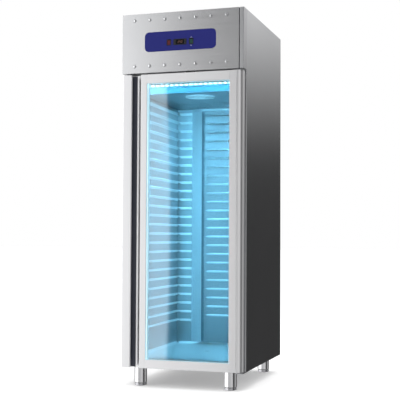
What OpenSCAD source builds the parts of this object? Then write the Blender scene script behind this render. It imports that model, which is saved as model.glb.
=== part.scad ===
// Upright single-door proofing cabinet: insulated stainless body with tray ledges, a glazed
// door with a full-height grip, a lift-up control fascia and a machine compartment on top.
// Units are millimetres. X runs to the right, Y to the back, Z up.
// The origin is on the floor, below the middle of the cabinet.

/* [Cabinet] */
// Overall width
cabinet_w = 700; // [660:10:780]
// Overall depth, controls included
cabinet_d = 870; // [820:10:900]
// Overall height
cabinet_h = 2050; // [2000:10:2100]
// Height of the body's underside above the floor
leg_h = 100; // [90:5:140]
// Thickness of the steel sheets
sheet = 1.5; // [1.5:0.5:2]
// Distance from the outer face of a wall to the inside face of the liner
wall = 46.5; // [40:0.5:60]

/* [Fascia] */
// Height of the control fascia
fascia_h = 330; // [300:10:360]
// Width of the fixed cheek to the right of the lift-up panel
cheek_w = 23; // [18:1:30]
// Width of the blue control overlay
overlay_w = 411; // [380:1:440]
// Height of the blue control overlay
overlay_h = 109; // [90:1:120]
// Number of pressed studs in each row
stud_count = 7; // [5:1:9]
// Distance between two studs
stud_pitch = 88.5; // [80:0.5:90]

/* [Door] */
// Thickness of the door frame
door_t = 50; // [46:1:52]
// Width of the grip on the opening side
grip_w = 53; // [45:1:58]
// Width of the finger opening beside the grip
scoop_w = 52; // [50:1:56]
// Width of the flat stile between finger opening and glass
stile_w = 37; // [30:1:45]
// Width of the hinge-side stile
hinge_stile_w = 73; // [70:1:80]
// Height of the bottom rail
bottom_rail_h = 45; // [40:1:60]
// Height of the top rail
top_rail_h = 49; // [40:1:60]

/* [Chamber] */
// Number of tray levels
levels = 25; // [15:1:25]
// Distance between two tray levels
level_pitch = 54; // [50:1:54]
// Height of the lowest ledge above the floor
lowest_level = 305; // [280:5:305]
// How far a ledge stands out of the wall
ledge_w = 18; // [14:1:22]

/* [Hidden] */
$fn = 64;

stud_h = 3; // the studs and keys stand this far in front of the fascia
half_w = cabinet_w / 2;
rear_y = cabinet_d / 2;
front_y = -rear_y + stud_h; // front face of the door and the fascia
body_y = front_y + door_t + 8; // front face of the body, behind door and gasket
door_back_y = front_y + door_t;
side_x = half_w - sheet; // inside face of the side panels
back_y = rear_y - 13.5; // front face of the rear panel, which is set in from the side panels
floor_z = leg_h + 50; // chamber floor
fascia_z = cabinet_h - fascia_h; // underside of the fascia
ceiling_z = fascia_z - 50; // chamber ceiling
in_x = half_w - wall; // inside face of the side liners
in_y = back_y - wall + sheet; // inside face of the rear liner
breaker_t = 12;

door_z0 = leg_h + 3;
door_z1 = fascia_z - 8;
door_x = half_w - 6; // half the door's width
glass_x0 = -door_x + grip_w + scoop_w + stile_w - 1;
glass_x1 = door_x - hinge_stile_w;
glass_z0 = door_z0 + bottom_rail_h;
glass_z1 = door_z1 - top_rail_h;
rebate = 10; // depth of the groove that holds the glass
pane_t = 4;
lip_t = 3; // front lip of the glazing groove
unit_t = 32; // whole glass unit
pivot_x = half_w - 26;
pivot_y = front_y + 25;
pin_r = 5;
run_gap = 0.06; // radial clearance of the hinge pins

overlay_x = -11.5;
overlay_z = fascia_z + 170;
control_z = overlay_z - 8;
panel_x1 = half_w - cheek_w - 5; // right edge of the lift-up panel
fascia_pivot = [front_y + 30, cabinet_h - 20];
overlay_t = 1.2;
switch_x = 64.5; // distance of each rocker from the middle of the display
rocker = [17, 24]; // width and height of a rocker
rocker_tilt = 7;
key_size = 8.4;
key_x = 29.5;
key_z = 7;

foot_r = 35;
foot_x = half_w - 92;
foot_front_y = front_y + 78;
foot_rear_y = rear_y - 62;
foot_stem_r = 12;

drain_y = 40;
drain_r = 10;
duct_half = 207;
duct_face = 131;
duct_depth = 40;
plenum_z = ceiling_z - 45; // underside of the fan housing
plenum_y = body_y + 90;
fan_y = -120;
fan_r = 75;
compartment_z = fascia_z + sheet;

// Block from one corner to the opposite one
module block(lo, hi) {
    translate(lo) cube(hi - lo);
}

// Plate with round corners in the XZ plane, from y0 to y1
module rounded_plate(cx, cz, w, h, r, y0, y1) {
    translate([cx, y1, cz]) rotate([90, 0, 0]) linear_extrude(y1 - y0) {
        square([w - 2 * r, h], center = true);
        square([w, h - 2 * r], center = true);
        for (sx = [-1, 1], sz = [-1, 1]) translate([sx * (w / 2 - r), sz * (h / 2 - r)]) circle(r);
    }
}

module round_bar_x(x0, x1, y, z, r) {
    translate([x0, y, z]) rotate([0, 90, 0]) cylinder(h = x1 - x0, r = r);
}

module round_bar_y(x, y0, y1, z, r) {
    translate([x, y1, z]) rotate([90, 0, 0]) cylinder(h = y1 - y0, r = r);
}

// ---------------------------------------------------------------- outer shell

// Right-hand side panel: skin with a folded front and rear edge
module side_panel() {
    fold = 16;
    block([side_x, body_y, leg_h], [half_w, rear_y, cabinet_h]);
    block([half_w - fold, body_y, leg_h], [side_x, body_y + sheet, cabinet_h]);
    block([half_w - fold, rear_y - sheet, leg_h], [side_x, rear_y, cabinet_h]);
}

module side_panel_right() {
    color("silver") side_panel();
}

module side_panel_left() {
    color("silver") mirror([1, 0, 0]) side_panel();
}

module rear_panel() {
    color("silver") difference() {
        block([-side_x, back_y, leg_h + sheet], [side_x, back_y + sheet, cabinet_h - sheet]);
        for (column = [-1:1], row = [0:6])
            rounded_plate(column * 190, fascia_z + 110 + row * 26, 150, 9, 4.4, back_y - 1, back_y + 3);
        round_bar_y(-250, back_y - 1, back_y + 3, fascia_z + 50, 11);
    }
}

module roof_panel() {
    color("silver") block([-side_x, body_y + sheet, cabinet_h - sheet], [side_x, back_y + sheet, cabinet_h]);
}

module base_panel() {
    color("silver") difference() {
        block([-side_x, body_y + sheet, leg_h], [side_x, back_y + sheet, leg_h + sheet]);
        translate([0, drain_y, leg_h - 1]) cylinder(h = 4, r = drain_r + 0.5);
    }
}

module machine_tray() {
    color("silver") block([-side_x, body_y + sheet, fascia_z], [side_x, back_y, fascia_z + sheet]);
}

// Five slabs of foam: left, right, rear, floor and ceiling
module foam_insulation() {
    seam = 0.5;
    x1 = in_x + sheet - seam;
    y0 = body_y + breaker_t;
    z0 = leg_h + sheet;
    color("khaki") {
        for (s = [0, 1]) mirror([s, 0, 0]) block([in_x + sheet, y0, z0], [side_x, back_y, fascia_z]);
        block([-x1, in_y + sheet, z0], [x1, back_y, fascia_z]);
        difference() {
            block([-x1, y0, z0], [x1, in_y + sheet - seam, floor_z - sheet]);
            translate([0, drain_y, leg_h]) cylinder(h = 60, r = 17);
        }
        block([-x1, y0, ceiling_z + sheet], [x1, in_y + sheet - seam, fascia_z]);
    }
}

// ---------------------------------------------------------------- chamber

module liner_side() {
    block([in_x, body_y + breaker_t, floor_z - sheet], [in_x + sheet, in_y + sheet, ceiling_z + sheet]);
}

module liner_right() {
    color("lightblue") liner_side();
}

module liner_left() {
    color("lightblue") mirror([1, 0, 0]) liner_side();
}

module liner_rear() {
    color("lightblue") block([-in_x, in_y, floor_z - sheet], [in_x, in_y + sheet, ceiling_z + sheet]);
}

module liner_floor() {
    color("lightblue") difference() {
        block([-in_x, body_y + breaker_t, floor_z - sheet], [in_x, in_y, floor_z]);
        translate([0, drain_y, floor_z - 5]) cylinder(h = 10, r = 16);
    }
}

module liner_ceiling() {
    color("lightblue") block([-in_x, body_y + breaker_t, ceiling_z], [in_x, in_y, ceiling_z + sheet]);
}

// Four strips that close the wall between skin and liner around the door opening
module breaker_frame() {
    fold = 16;
    y1 = body_y + breaker_t;
    color("gainsboro") {
        for (s = [0, 1]) mirror([s, 0, 0]) {
            block([in_x, body_y, leg_h + sheet], [half_w - fold, y1, fascia_z]);
            block([half_w - fold, body_y + sheet, leg_h + sheet], [side_x, y1, fascia_z]);
        }
        block([-in_x, body_y, leg_h + sheet], [in_x, y1, floor_z]);
        block([-in_x, body_y, ceiling_z], [in_x, y1, fascia_z]);
    }
}

// Section of a ledge: flat top, lip at the free edge and hem against the wall
module ledge_profile() {
    lip = 7;
    polygon([
        [0, 0], [-ledge_w, 0], [-ledge_w, -lip], [-ledge_w + sheet, -lip],
        [-ledge_w + sheet, -sheet], [-sheet, -sheet], [-sheet, -2 * lip], [0, -2 * lip]
    ]);
}

// Right-hand ledges, one above the other, each with a stop along the rear wall up to the duct
module tray_ledges() {
    y0 = body_y + 40;
    x1 = in_x - ledge_w - 0.5;
    for (i = [0:levels - 1]) translate([0, 0, lowest_level + i * level_pitch]) {
        translate([in_x, in_y, 0]) rotate([90, 0, 0]) linear_extrude(in_y - y0) ledge_profile();
        translate([x1, in_y, 0]) rotate([90, 0, -90]) linear_extrude(x1 - duct_half - 2)
            mirror([1, 0, 0]) ledge_profile();
    }
}

module tray_ledges_right() {
    color("lightblue") tray_ledges();
}

module tray_ledges_left() {
    color("lightblue") mirror([1, 0, 0]) tray_ledges();
}

// Folded duct on the rear wall with one air slot below each tray level
module air_duct() {
    slope = (duct_half - duct_face) / duct_depth;
    color("lightblue") difference() {
        translate([0, in_y, floor_z + 20]) linear_extrude(plenum_z - floor_z - 20) polygon([
            [-duct_half, 0], [-duct_face, -duct_depth], [duct_face, -duct_depth], [duct_half, 0],
            [duct_half - 2 * sheet * slope, 0], [duct_face - sheet, -duct_depth + sheet],
            [-duct_face + sheet, -duct_depth + sheet], [-duct_half + 2 * sheet * slope, 0]
        ]);
        for (i = [0:levels - 2])
            rounded_plate(0, lowest_level + (i + 0.5) * level_pitch, 190, 7, 3.4,
                          in_y - duct_depth - 1, in_y - duct_depth + 3);
    }
}

// False ceiling with the fan hole and the return slots
module fan_housing() {
    x1 = in_x - 12;
    y1 = in_y - 2;
    color("lightblue") {
        difference() {
            block([-x1, plenum_y, plenum_z], [x1, y1, plenum_z + sheet]);
            translate([0, fan_y, plenum_z - 1]) cylinder(h = 4, r = fan_r + 5);
            for (i = [0:5]) for (s = [-1, 1])
                block([s * 130 - 90, 130 + i * 26, plenum_z - 1], [s * 130 + 90, 140 + i * 26, plenum_z + 3]);
        }
        block([-x1, plenum_y, plenum_z + sheet], [x1, plenum_y + sheet, ceiling_z]);
        for (s = [-1, 1]) block([s < 0 ? -x1 : x1 - sheet, plenum_y + sheet, plenum_z + sheet],
                                [s < 0 ? -x1 + sheet : x1, y1, ceiling_z]);
    }
}

module fan_guard() {
    wire = 1.5;
    color("white") translate([0, fan_y, plenum_z - wire]) {
        for (r = [20:20:80]) rotate_extrude() translate([r, 0]) circle(wire, $fn = 16);
        for (a = [0, 90]) rotate([0, 0, a]) translate([-88, 0, 0]) rotate([0, 90, 0])
            cylinder(h = 176, r = wire, $fn = 16);
    }
}

module fan_motor() {
    color("dimgray") translate([0, fan_y, plenum_z + 31]) {
        cylinder(h = ceiling_z - plenum_z - 31, r = 34);
        translate([0, 0, -8]) cylinder(h = 8, r = 4);
    }
}

// Hub with five pitched blades, turning about Z
module rotor(hub_r, tip_r, height, shaft_r) {
    difference() {
        union() {
            cylinder(h = height, r = hub_r);
            for (a = [0:72:359]) rotate([0, 0, a]) translate([(hub_r + tip_r) / 2 - 1, 0, height / 2])
                rotate([32, 0, 0]) cube([tip_r - hub_r + 2, 34, 2], center = true);
        }
        translate([0, 0, -1]) cylinder(h = height + 2, r = shaft_r);
    }
}

module fan_rotor() {
    color("darkslategray") translate([0, fan_y, plenum_z + 7]) rotor(24, fan_r, 22, 4 + run_gap);
}

// Finned coil: round tubes along X through flat fins
module coil(x0, x1, fins, size_y, size_z, rows_y, rows_z) {
    pitch = (x1 - x0 - 20) / (fins - 1);
    for (i = [0:fins - 1]) translate([x0 + 9.5 + i * pitch, 0, 0]) cube([1, size_y, size_z]);
    for (j = [0:rows_y - 1], k = [0:rows_z - 1])
        round_bar_x(x0, x1, (j + 0.5) * size_y / rows_y, (k + 0.5) * size_z / rows_z, 4);
}

module evaporator_coil() {
    color("silver") translate([0, 110, plenum_z + 5]) coil(-235, 235, 30, 190, 36, 5, 2);
}

// Hairpin heater between fan and coil
module heater_element() {
    z = plenum_z + 24;
    color("gray") {
        for (i = [0:3]) round_bar_x(-180, 180, 0 + i * 24, z, 4);
        for (i = [0:2]) translate([i % 2 == 0 ? 180 : -180, 12 + i * 24, z])
            rotate([0, 0, i % 2 == 0 ? -90 : 90]) rotate_extrude(angle = 180) translate([12, 0]) circle(4);
    }
}

module climate_probe() {
    color("white") translate([in_x, -60, floor_z + 80]) rotate([0, -90, 0]) {
        cylinder(h = 4, r = 14);
        cylinder(h = 14, r = 6);
    }
}

// Aluminium channels for the lamps: along the top and down both front corners
module led_channels() {
    y = body_y + breaker_t + 2;
    color("white") {
        block([-in_x + 14, y, ceiling_z - 8], [in_x - 14, y + 18, ceiling_z]);
        for (s = [0, 1]) mirror([s, 0, 0]) block([in_x - 8, y, floor_z + 30], [in_x, y + 18, ceiling_z - 20]);
    }
}

// Half-round diffusers on the channels
module led_diffusers() {
    y = body_y + breaker_t + 11;
    color("azure") {
        difference() {
            round_bar_x(-in_x + 14, in_x - 14, y, ceiling_z - 8, 8);
            block([-in_x, y - 9, ceiling_z - 8], [in_x, y + 9, ceiling_z + 2]);
        }
        for (s = [0, 1]) mirror([s, 0, 0]) difference() {
            translate([in_x - 8, y, floor_z + 30]) cylinder(h = ceiling_z - 20 - floor_z - 30, r = 7);
            block([in_x - 8, y - 9, floor_z], [in_x + 2, y + 9, ceiling_z]);
        }
    }
}

module floor_drain() {
    tail = floor_z - 8 - leg_h + 12;
    color("silver") translate([0, drain_y, floor_z - 8]) difference() {
        union() {
            cylinder(h = 8, r = 15.5);
            translate([0, 0, 8]) cylinder(h = 1.5, r = 26);
            translate([0, 0, -tail]) cylinder(h = tail, r = drain_r);
        }
        translate([0, 0, -tail - 1]) cylinder(h = tail + 4, r = drain_r - 2);
        for (a = [0:45:359]) rotate([0, 0, a]) translate([9, 0, 2]) cylinder(h = 9, r = 2.2, $fn = 24);
    }
}

// ---------------------------------------------------------------- machine compartment

module compressor() {
    z = compartment_z;
    color("black") translate([-190, 190, z]) {
        for (sx = [-1, 1], sy = [-1, 1]) translate([sx * 80, sy * 60, 0]) cylinder(h = 16, r = 12);
        block([-100, -80, 16], [100, 80, 19]);
        translate([0, 0, 19]) cylinder(h = 110, r = 78);
        translate([0, 0, 129]) intersection() {
            scale(1) sphere(r = 110);
            cylinder(h = 60, r = 78);
            translate([0, 0, -30]) cylinder(h = 90, r = 78);
        }
    }
}

module condenser_coil() {
    color("silver") translate([0, -330, compartment_z + 22]) coil(20, 320, 24, 60, 230, 2, 6);
}

module condenser_motor() {
    color("dimgray") {
        round_bar_y(170, -180, -110, compartment_z + 137, 36);
        round_bar_y(170, -222, -180, compartment_z + 137, 4);
        block([150, -170, compartment_z], [190, -120, compartment_z + 104]);
    }
}

module condenser_rotor() {
    color("darkslategray") translate([170, -196, compartment_z + 137]) rotate([90, 0, 0])
        rotor(26, 98, 22, 4 + run_gap);
}

// One pipe in straight runs, each with a ball at its ends for the bends
module pipe(points, r) {
    for (i = [0:len(points) - 2]) {
        d = points[i + 1] - points[i];
        translate(points[i]) rotate([0, acos(d[2] / norm(d)), atan2(d[1], d[0])]) cylinder(h = norm(d), r = r, $fn = 24);
        if (i > 0) translate(points[i]) sphere(r = r, $fn = 24);
    }
}

module refrigerant_pipes() {
    z = compartment_z;
    color("peru") {
        pipe([[-190, 270.5, z + 60], [-190, 330, z + 60], [100, 330, z + 60], [100, 330, z + 6],
              [60, 330, z + 6]], 6);
        pipe([[-110, 190, z + 90], [-40, 190, z + 90], [-40, -20, z + 90], [-40, -20, z + 60],
              [0, -300, z + 60], [19, -300, z + 60]], 5);
        round_bar_y(-40, 40, 150, z + 90, 20);
    }
}

module steam_boiler() {
    color("silver") {
        block([-330, -240, compartment_z + 12], [-190, -100, compartment_z + 170]);
        translate([-260, -170, compartment_z + 170]) cylinder(h = 14, r = 30);
        for (sx = [-320, -200], sy = [-230, -110]) translate([sx, sy, compartment_z]) cylinder(h = 12, r = 8);
    }
}

module electrical_box() {
    color("lightgray") {
        block([40, 60, compartment_z], [300, 200, compartment_z + 150]);
        block([36, 56, compartment_z + 150], [304, 204, compartment_z + 156]);
    }
}

module cable_gland() {
    color("black") difference() {
        union() {
            round_bar_y(-250, back_y - 12, rear_y - 1, fascia_z + 50, 10.5);
            translate([-250, rear_y - 1, fascia_z + 50]) rotate([90, 0, 0])
                cylinder(h = rear_y - 1 - back_y - sheet, r = 15, $fn = 6);
            round_bar_y(-250, back_y - 8, back_y, fascia_z + 50, 15);
        }
        round_bar_y(-250, back_y - 13, rear_y, fascia_z + 50, 6);
    }
}

// ---------------------------------------------------------------- supports

// Fixed posts at both ends of the lift-up panel, each with the panel's hinge pin
module fascia_cheeks() {
    x0 = half_w - cheek_w;
    color("gainsboro") {
        difference() {
            union() {
                block([x0, front_y, fascia_z], [half_w, front_y + 3, cabinet_h]);
                block([side_x, front_y + 3, fascia_z], [half_w, body_y, cabinet_h]);
                block([x0, front_y + 3, fascia_z], [x0 + sheet, body_y, cabinet_h]);
            }
            block([half_w - 5, front_y - 1, fascia_z - 1], [half_w - 3.8, front_y + 1.5, cabinet_h + 1]);
        }
        round_bar_x(x0 - 25, x0, fascia_pivot[0], fascia_pivot[1], 4);
        block([-half_w + 3, front_y + 8, fascia_z + 8], [-half_w + 6, body_y, cabinet_h - 80]);
        block([-half_w + 3, fascia_pivot[0] - 8, cabinet_h - 80], [-half_w + 6, fascia_pivot[0] + 8, cabinet_h - 12]);
        block([-half_w + 6, body_y - 3, fascia_z + 8], [-half_w + 24, body_y, cabinet_h - 80]);
        round_bar_x(-half_w + 6, -half_w + 40, fascia_pivot[0], fascia_pivot[1], 4);
    }
}

// Top and bottom plates that carry the door's pivot pins
module hinge_brackets() {
    plate = 4;
    top = door_z1 + 2;
    color("silver") {
        block([pivot_x - 16, front_y + 9, top], [half_w - 2, body_y, top + plate]);
        block([pivot_x + 6, body_y - 3, top + plate], [half_w - 2, body_y, top + plate + 42]);
        translate([pivot_x, pivot_y, top - 26]) cylinder(h = 26, r = pin_r);
        block([pivot_x - 16, front_y + 9, leg_h - plate], [half_w - 4, body_y + 70, leg_h]);
        translate([pivot_x, pivot_y, leg_h]) cylinder(h = 29, r = pin_r);
    }
}

module at_feet() {
    for (sx = [-1, 1], y = [foot_front_y, foot_rear_y]) translate([sx * foot_x, y, 0]) children();
}

// Fixed sleeves under the base
module foot_sleeves() {
    color("silver") at_feet() difference() {
        translate([0, 0, 15]) cylinder(h = leg_h - 15, r = foot_r);
        translate([0, 0, 14]) cylinder(h = 20, r = foot_stem_r + run_gap);
        translate([0, 0, 30]) cylinder(h = leg_h - 33, r = foot_r - 4);
    }
}

// Screw foot: pad with a stem that runs in its sleeve
module screw_foot(sx, y) {
    color("dimgray") translate([sx * foot_x, y, 0]) {
        cylinder(h = 3, r1 = foot_r - 5, r2 = foot_r - 2);
        translate([0, 0, 3]) cylinder(h = 11, r = foot_r - 2);
        translate([0, 0, 14]) cylinder(h = 66, r = foot_stem_r);
    }
}

// ---------------------------------------------------------------- fascia

module stud(x, z) {
    cap_r = 7;
    ball_r = (cap_r * cap_r + stud_h * stud_h) / (2 * stud_h);
    translate([x, front_y, z]) rotate([90, 0, 0]) intersection() {
        translate([0, 0, stud_h - ball_r]) sphere(r = ball_r);
        translate([0, 0, -1]) cylinder(h = stud_h + 2, r = cap_r);
    }
}

// Folded tray with pressed studs, cut-outs for the controls and two hinge lugs
module fascia_panel() {
    x0 = -half_w;
    x1 = panel_x1;
    lug = [fascia_pivot[0] - 10, fascia_pivot[1] - 12];
    first_stud = overlay_x - (stud_count - 1) / 2 * stud_pitch;
    color("silver") difference() {
        union() {
            block([x0, front_y, fascia_z], [x1, front_y + sheet, cabinet_h]);
            block([x0, front_y, fascia_z], [x0 + sheet, body_y - 4, cabinet_h - 60]);
            block([x0, front_y, fascia_z], [x0 + sheet, front_y + 44, cabinet_h]);
            block([x1 - sheet, front_y, fascia_z], [x1, front_y + 30, cabinet_h]);
            block([x0, front_y, fascia_z], [x1, front_y + 40, fascia_z + sheet]);
            block([x0, front_y, cabinet_h - sheet], [x1, front_y + 44, cabinet_h]);
            for (x = [x0 + 28, x1 - 16])
                block([x, lug[0], lug[1]], [x + 6, lug[0] + 20, cabinet_h - sheet]);
            for (i = [0:stud_count - 1], z = [fascia_z + 39.5, fascia_z + 294.5])
                stud(first_stud + i * stud_pitch, z);
        }
        round_bar_x(x0 + 20, x0 + 40, fascia_pivot[0], fascia_pivot[1], 4 + run_gap);
        round_bar_x(x1 - 20, x1 + 1, fascia_pivot[0], fascia_pivot[1], 4 + run_gap);
        control_holes(front_y - 5, front_y + 5);
    }
}

// Finger pull under the panel's bottom edge
module fascia_catch() {
    color("black") difference() {
        block([20, front_y + 1, fascia_z - 7], [70, front_y + 16, fascia_z]);
        block([24, front_y + 5, fascia_z - 8], [66, front_y + 12, fascia_z - 3]);
    }
}

// Openings for the controller and the two rockers, from y0 to y1
module control_holes(y0, y1) {
    block([overlay_x - 35.5, y0, control_z - 14.5], [overlay_x + 35.5, y1, control_z + 14.5]);
    for (s = [-1, 1])
        block([overlay_x + s * switch_x - 11.5, y0, control_z - 15.5],
              [overlay_x + s * switch_x + 11.5, y1, control_z + 15.5]);
}

module control_overlay() {
    color("midnightblue") difference() {
        rounded_plate(overlay_x, overlay_z, overlay_w, overlay_h, 25, front_y - overlay_t, front_y);
        control_holes(front_y - 5, front_y + 5);
    }
}

module at_keys() {
    for (sx = [-1, 1], sz = [-1, 1]) translate([overlay_x + sx * key_x, 0, control_z + sz * key_z]) children();
}

// Controller: bezel on the overlay and case behind it, with wells for the window and the keys
module controller_body() {
    y0 = front_y - overlay_t - 1;
    well = key_size / 2 + 0.3;
    color("black") difference() {
        union() {
            rounded_plate(overlay_x, control_z, 76, 33, 3, y0, front_y - overlay_t);
            block([overlay_x - 35.4, front_y - overlay_t, control_z - 14.4],
                  [overlay_x + 35.4, front_y + 50, control_z + 14.4]);
        }
        block([overlay_x - 23, y0 - 1, control_z - 12], [overlay_x + 23, y0 + 1.8, control_z + 12]);
        at_keys() block([-well, y0 - 1, -well], [well, front_y + 6, well]);
    }
}

module display_window() {
    y0 = front_y - overlay_t - 1;
    color("black") block([overlay_x - 23, y0, control_z - 12], [overlay_x + 23, y0 + 1.8, control_z + 12]);
}

module controller_key(sx, sz) {
    color("dimgray") rounded_plate(overlay_x + sx * key_x, control_z + sz * key_z, key_size, key_size, 1.5,
                                   front_y - stud_h, front_y + 4);
}

// Bezels and cases of the two rocker switches
module switch_housings() {
    y0 = front_y - overlay_t - 0.8;
    hole = [rocker[0] / 2 + 0.4, rocker[1] / 2 + 1.4];
    color("black") for (s = [-1, 1]) translate([overlay_x + s * switch_x, 0, control_z]) difference() {
        union() {
            rounded_plate(0, 0, 26, 34, 2, y0, front_y - overlay_t);
            block([-11.4, front_y - overlay_t, -15.4], [11.4, front_y + 22, 15.4]);
        }
        block([-hole[0], y0 - 1, -hole[1]], [hole[0], front_y + 18, hole[1]]);
        round_bar_x(-10.2, 10.2, front_y + 8, 0, 1.5 + run_gap);
    }
}

// Rocker that lies tipped to one side at rest
module switch_rocker(s, tint) {
    color(tint) translate([overlay_x + s * switch_x, front_y + 8, control_z]) rotate([rocker_tilt, 0, 0]) {
        block([-rocker[0] / 2, -9, -rocker[1] / 2], [rocker[0] / 2, 4, rocker[1] / 2]);
        round_bar_x(-10, 10, 0, 0, 1.5);
    }
}

// ---------------------------------------------------------------- door

// Plan of the opening-side stile: grip, finger space, scoop and glazing groove
module handle_profile() {
    x0 = -door_x;
    grip_t = 9;
    web_y = 36;
    grip_x = x0 + grip_w;
    scoop_r = web_y - 6;
    scoop_x = grip_x + scoop_w - scoop_r;
    pocket_r = (web_y - grip_t) / 2;
    corner = 4;
    difference() {
        union() {
            translate([x0, corner]) square([glass_x0 - x0, door_t - corner]);
            translate([x0 + corner, 0]) square([glass_x0 - x0 - corner, corner + 1]);
            translate([x0 + corner, corner]) circle(corner);
        }
        translate([x0 + 8 + pocket_r, grip_t + pocket_r]) circle(pocket_r);
        translate([x0 + 8 + pocket_r, grip_t]) square([scoop_x - x0 - 8 - pocket_r, web_y - grip_t]);
        translate([scoop_x, 6]) circle(scoop_r);
        translate([grip_x, -1]) square([scoop_w, 7]);
        difference() {
            translate([grip_x - grip_t / 2, -1]) square([grip_t / 2 + 1, grip_t + 1.5]);
            translate([grip_x - grip_t / 2, grip_t / 2]) circle(grip_t / 2);
        }
        translate([glass_x0 - rebate, lip_t]) square([rebate + 1, unit_t]);
    }
}

module handle_stile() {
    color("gainsboro") translate([0, front_y, door_z0]) linear_extrude(door_z1 - door_z0) handle_profile();
}

// Plan of the hinge-side stile: flat front, rolled edge, chamber and glazing groove
module hinge_profile() {
    roll_r = 36;
    seam_x = door_x - roll_r;
    difference() {
        union() {
            translate([glass_x1, 0]) square([seam_x - glass_x1, door_t]);
            translate([seam_x, roll_r]) square([roll_r, door_t - roll_r]);
            intersection() {
                translate([seam_x, roll_r]) circle(roll_r, $fn = 128);
                translate([seam_x, 0]) square([roll_r, roll_r]);
            }
        }
        translate([seam_x, -1]) square([2, 3]);
        translate([pivot_x - 18, 12]) square([26, 34]);
        translate([glass_x1 - 1, lip_t]) square([rebate + 1, unit_t]);
    }
}

module hinge_stile() {
    color("gainsboro") translate([0, front_y, door_z0]) linear_extrude(door_z1 - door_z0) hinge_profile();
}

// Bottom and top rails between the stiles
module door_rails() {
    color("gainsboro") {
        difference() {
            block([glass_x0, front_y, door_z0], [glass_x1, door_back_y, glass_z0]);
            block([glass_x0 - 1, front_y + lip_t, glass_z0 - rebate],
                  [glass_x1 + 1, front_y + lip_t + unit_t, glass_z0 + 1]);
        }
        difference() {
            block([glass_x0, front_y, glass_z1], [glass_x1, door_back_y, door_z1]);
            block([glass_x0 - 1, front_y + lip_t, glass_z1 - 1],
                  [glass_x1 + 1, front_y + lip_t + unit_t, glass_z1 + rebate]);
        }
    }
}

// Outer and inner panes
module glass_panes() {
    color("lightcyan", 0.4) for (y = [lip_t, lip_t + unit_t - pane_t])
        block([glass_x0 - rebate, front_y + y, glass_z0 - rebate],
              [glass_x1 + rebate, front_y + y + pane_t, glass_z1 + rebate]);
}

module glazing_spacer() {
    y0 = front_y + lip_t + pane_t;
    y1 = front_y + lip_t + unit_t - pane_t;
    color("white") difference() {
        block([glass_x0 - rebate, y0, glass_z0 - rebate], [glass_x1 + rebate, y1, glass_z1 + rebate]);
        block([glass_x0 - 1, y0 - 1, glass_z0 - 1], [glass_x1 + 1, y1 + 1, glass_z1 + 1]);
    }
}

// Magnetic gasket on the back of the door
module door_gasket() {
    width = 12;
    x0 = -door_x + 18;
    x1 = pivot_x - 8;
    z0 = door_z0 + 15;
    z1 = door_z1 - 12;
    color("gray") difference() {
        block([x0, door_back_y, z0], [x1, body_y - 0.5, z1]);
        block([x0 + width, door_back_y - 1, z0 + width], [x1 - width, body_y, z1 - width]);
    }
}

// Blocks in the ends of the hinge stile that turn on the pivot pins
module hinge_blocks() {
    length = 40;
    color("white") for (z = [door_z0, door_z1 - length]) difference() {
        block([pivot_x - 18, front_y + 12, z], [pivot_x + 8, front_y + 46, z + length]);
        translate([pivot_x, pivot_y, z - 1]) cylinder(h = length + 2, r = pin_r + run_gap);
    }
}

side_panel_left();
side_panel_right();
rear_panel();
roof_panel();
base_panel();
machine_tray();
foam_insulation();
liner_left();
liner_right();
liner_rear();
liner_floor();
liner_ceiling();
breaker_frame();
tray_ledges_left();
tray_ledges_right();
air_duct();
fan_housing();
fan_guard();
fan_motor();
fan_rotor();
evaporator_coil();
heater_element();
climate_probe();
led_channels();
led_diffusers();
floor_drain();
compressor();
condenser_coil();
condenser_motor();
condenser_rotor();
refrigerant_pipes();
steam_boiler();
electrical_box();
cable_gland();
fascia_cheeks();
hinge_brackets();
foot_sleeves();
screw_foot(-1, foot_front_y);  // foot_front_left
screw_foot(1, foot_front_y);  // foot_front_right
screw_foot(-1, foot_rear_y);  // foot_rear_left
screw_foot(1, foot_rear_y);  // foot_rear_right
fascia_panel();
fascia_catch();
control_overlay();
controller_body();
display_window();
controller_key(1, 1);  // key_up
controller_key(1, -1);  // key_down
controller_key(-1, 1);  // key_set
controller_key(-1, -1);  // key_light
switch_housings();
switch_rocker(-1, "darkred");  // power_rocker
switch_rocker(1, "darkgreen");  // light_rocker
handle_stile();
hinge_stile();
door_rails();
glass_panes();
glazing_spacer();
door_gasket();
hinge_blocks();
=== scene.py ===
import math

import bmesh
import bpy
from mathutils import Matrix, Vector


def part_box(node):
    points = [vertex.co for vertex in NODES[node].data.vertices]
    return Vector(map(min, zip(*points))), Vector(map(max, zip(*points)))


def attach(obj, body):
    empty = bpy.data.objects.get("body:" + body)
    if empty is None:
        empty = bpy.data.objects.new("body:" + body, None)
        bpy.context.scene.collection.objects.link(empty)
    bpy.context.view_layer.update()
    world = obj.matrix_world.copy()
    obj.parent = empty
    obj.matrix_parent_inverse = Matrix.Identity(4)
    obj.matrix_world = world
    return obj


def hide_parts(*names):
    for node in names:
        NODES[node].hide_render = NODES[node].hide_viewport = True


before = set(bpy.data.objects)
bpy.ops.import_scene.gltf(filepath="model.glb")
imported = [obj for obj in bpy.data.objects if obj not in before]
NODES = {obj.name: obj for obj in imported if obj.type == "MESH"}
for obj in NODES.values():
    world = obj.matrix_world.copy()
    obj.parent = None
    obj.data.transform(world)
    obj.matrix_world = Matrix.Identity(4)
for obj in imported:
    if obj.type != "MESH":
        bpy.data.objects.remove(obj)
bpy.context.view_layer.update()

# Lengths in this script are millimetres; MM turns them into Blender's metres where a mesh,
# a light or the camera is made. +X is right, -Y is the front, +Z is up.
MM = 0.001
B = {n: tuple(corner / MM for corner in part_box(n)) for n in NODES}


# ------------------------------------------------------------------ materials

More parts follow.
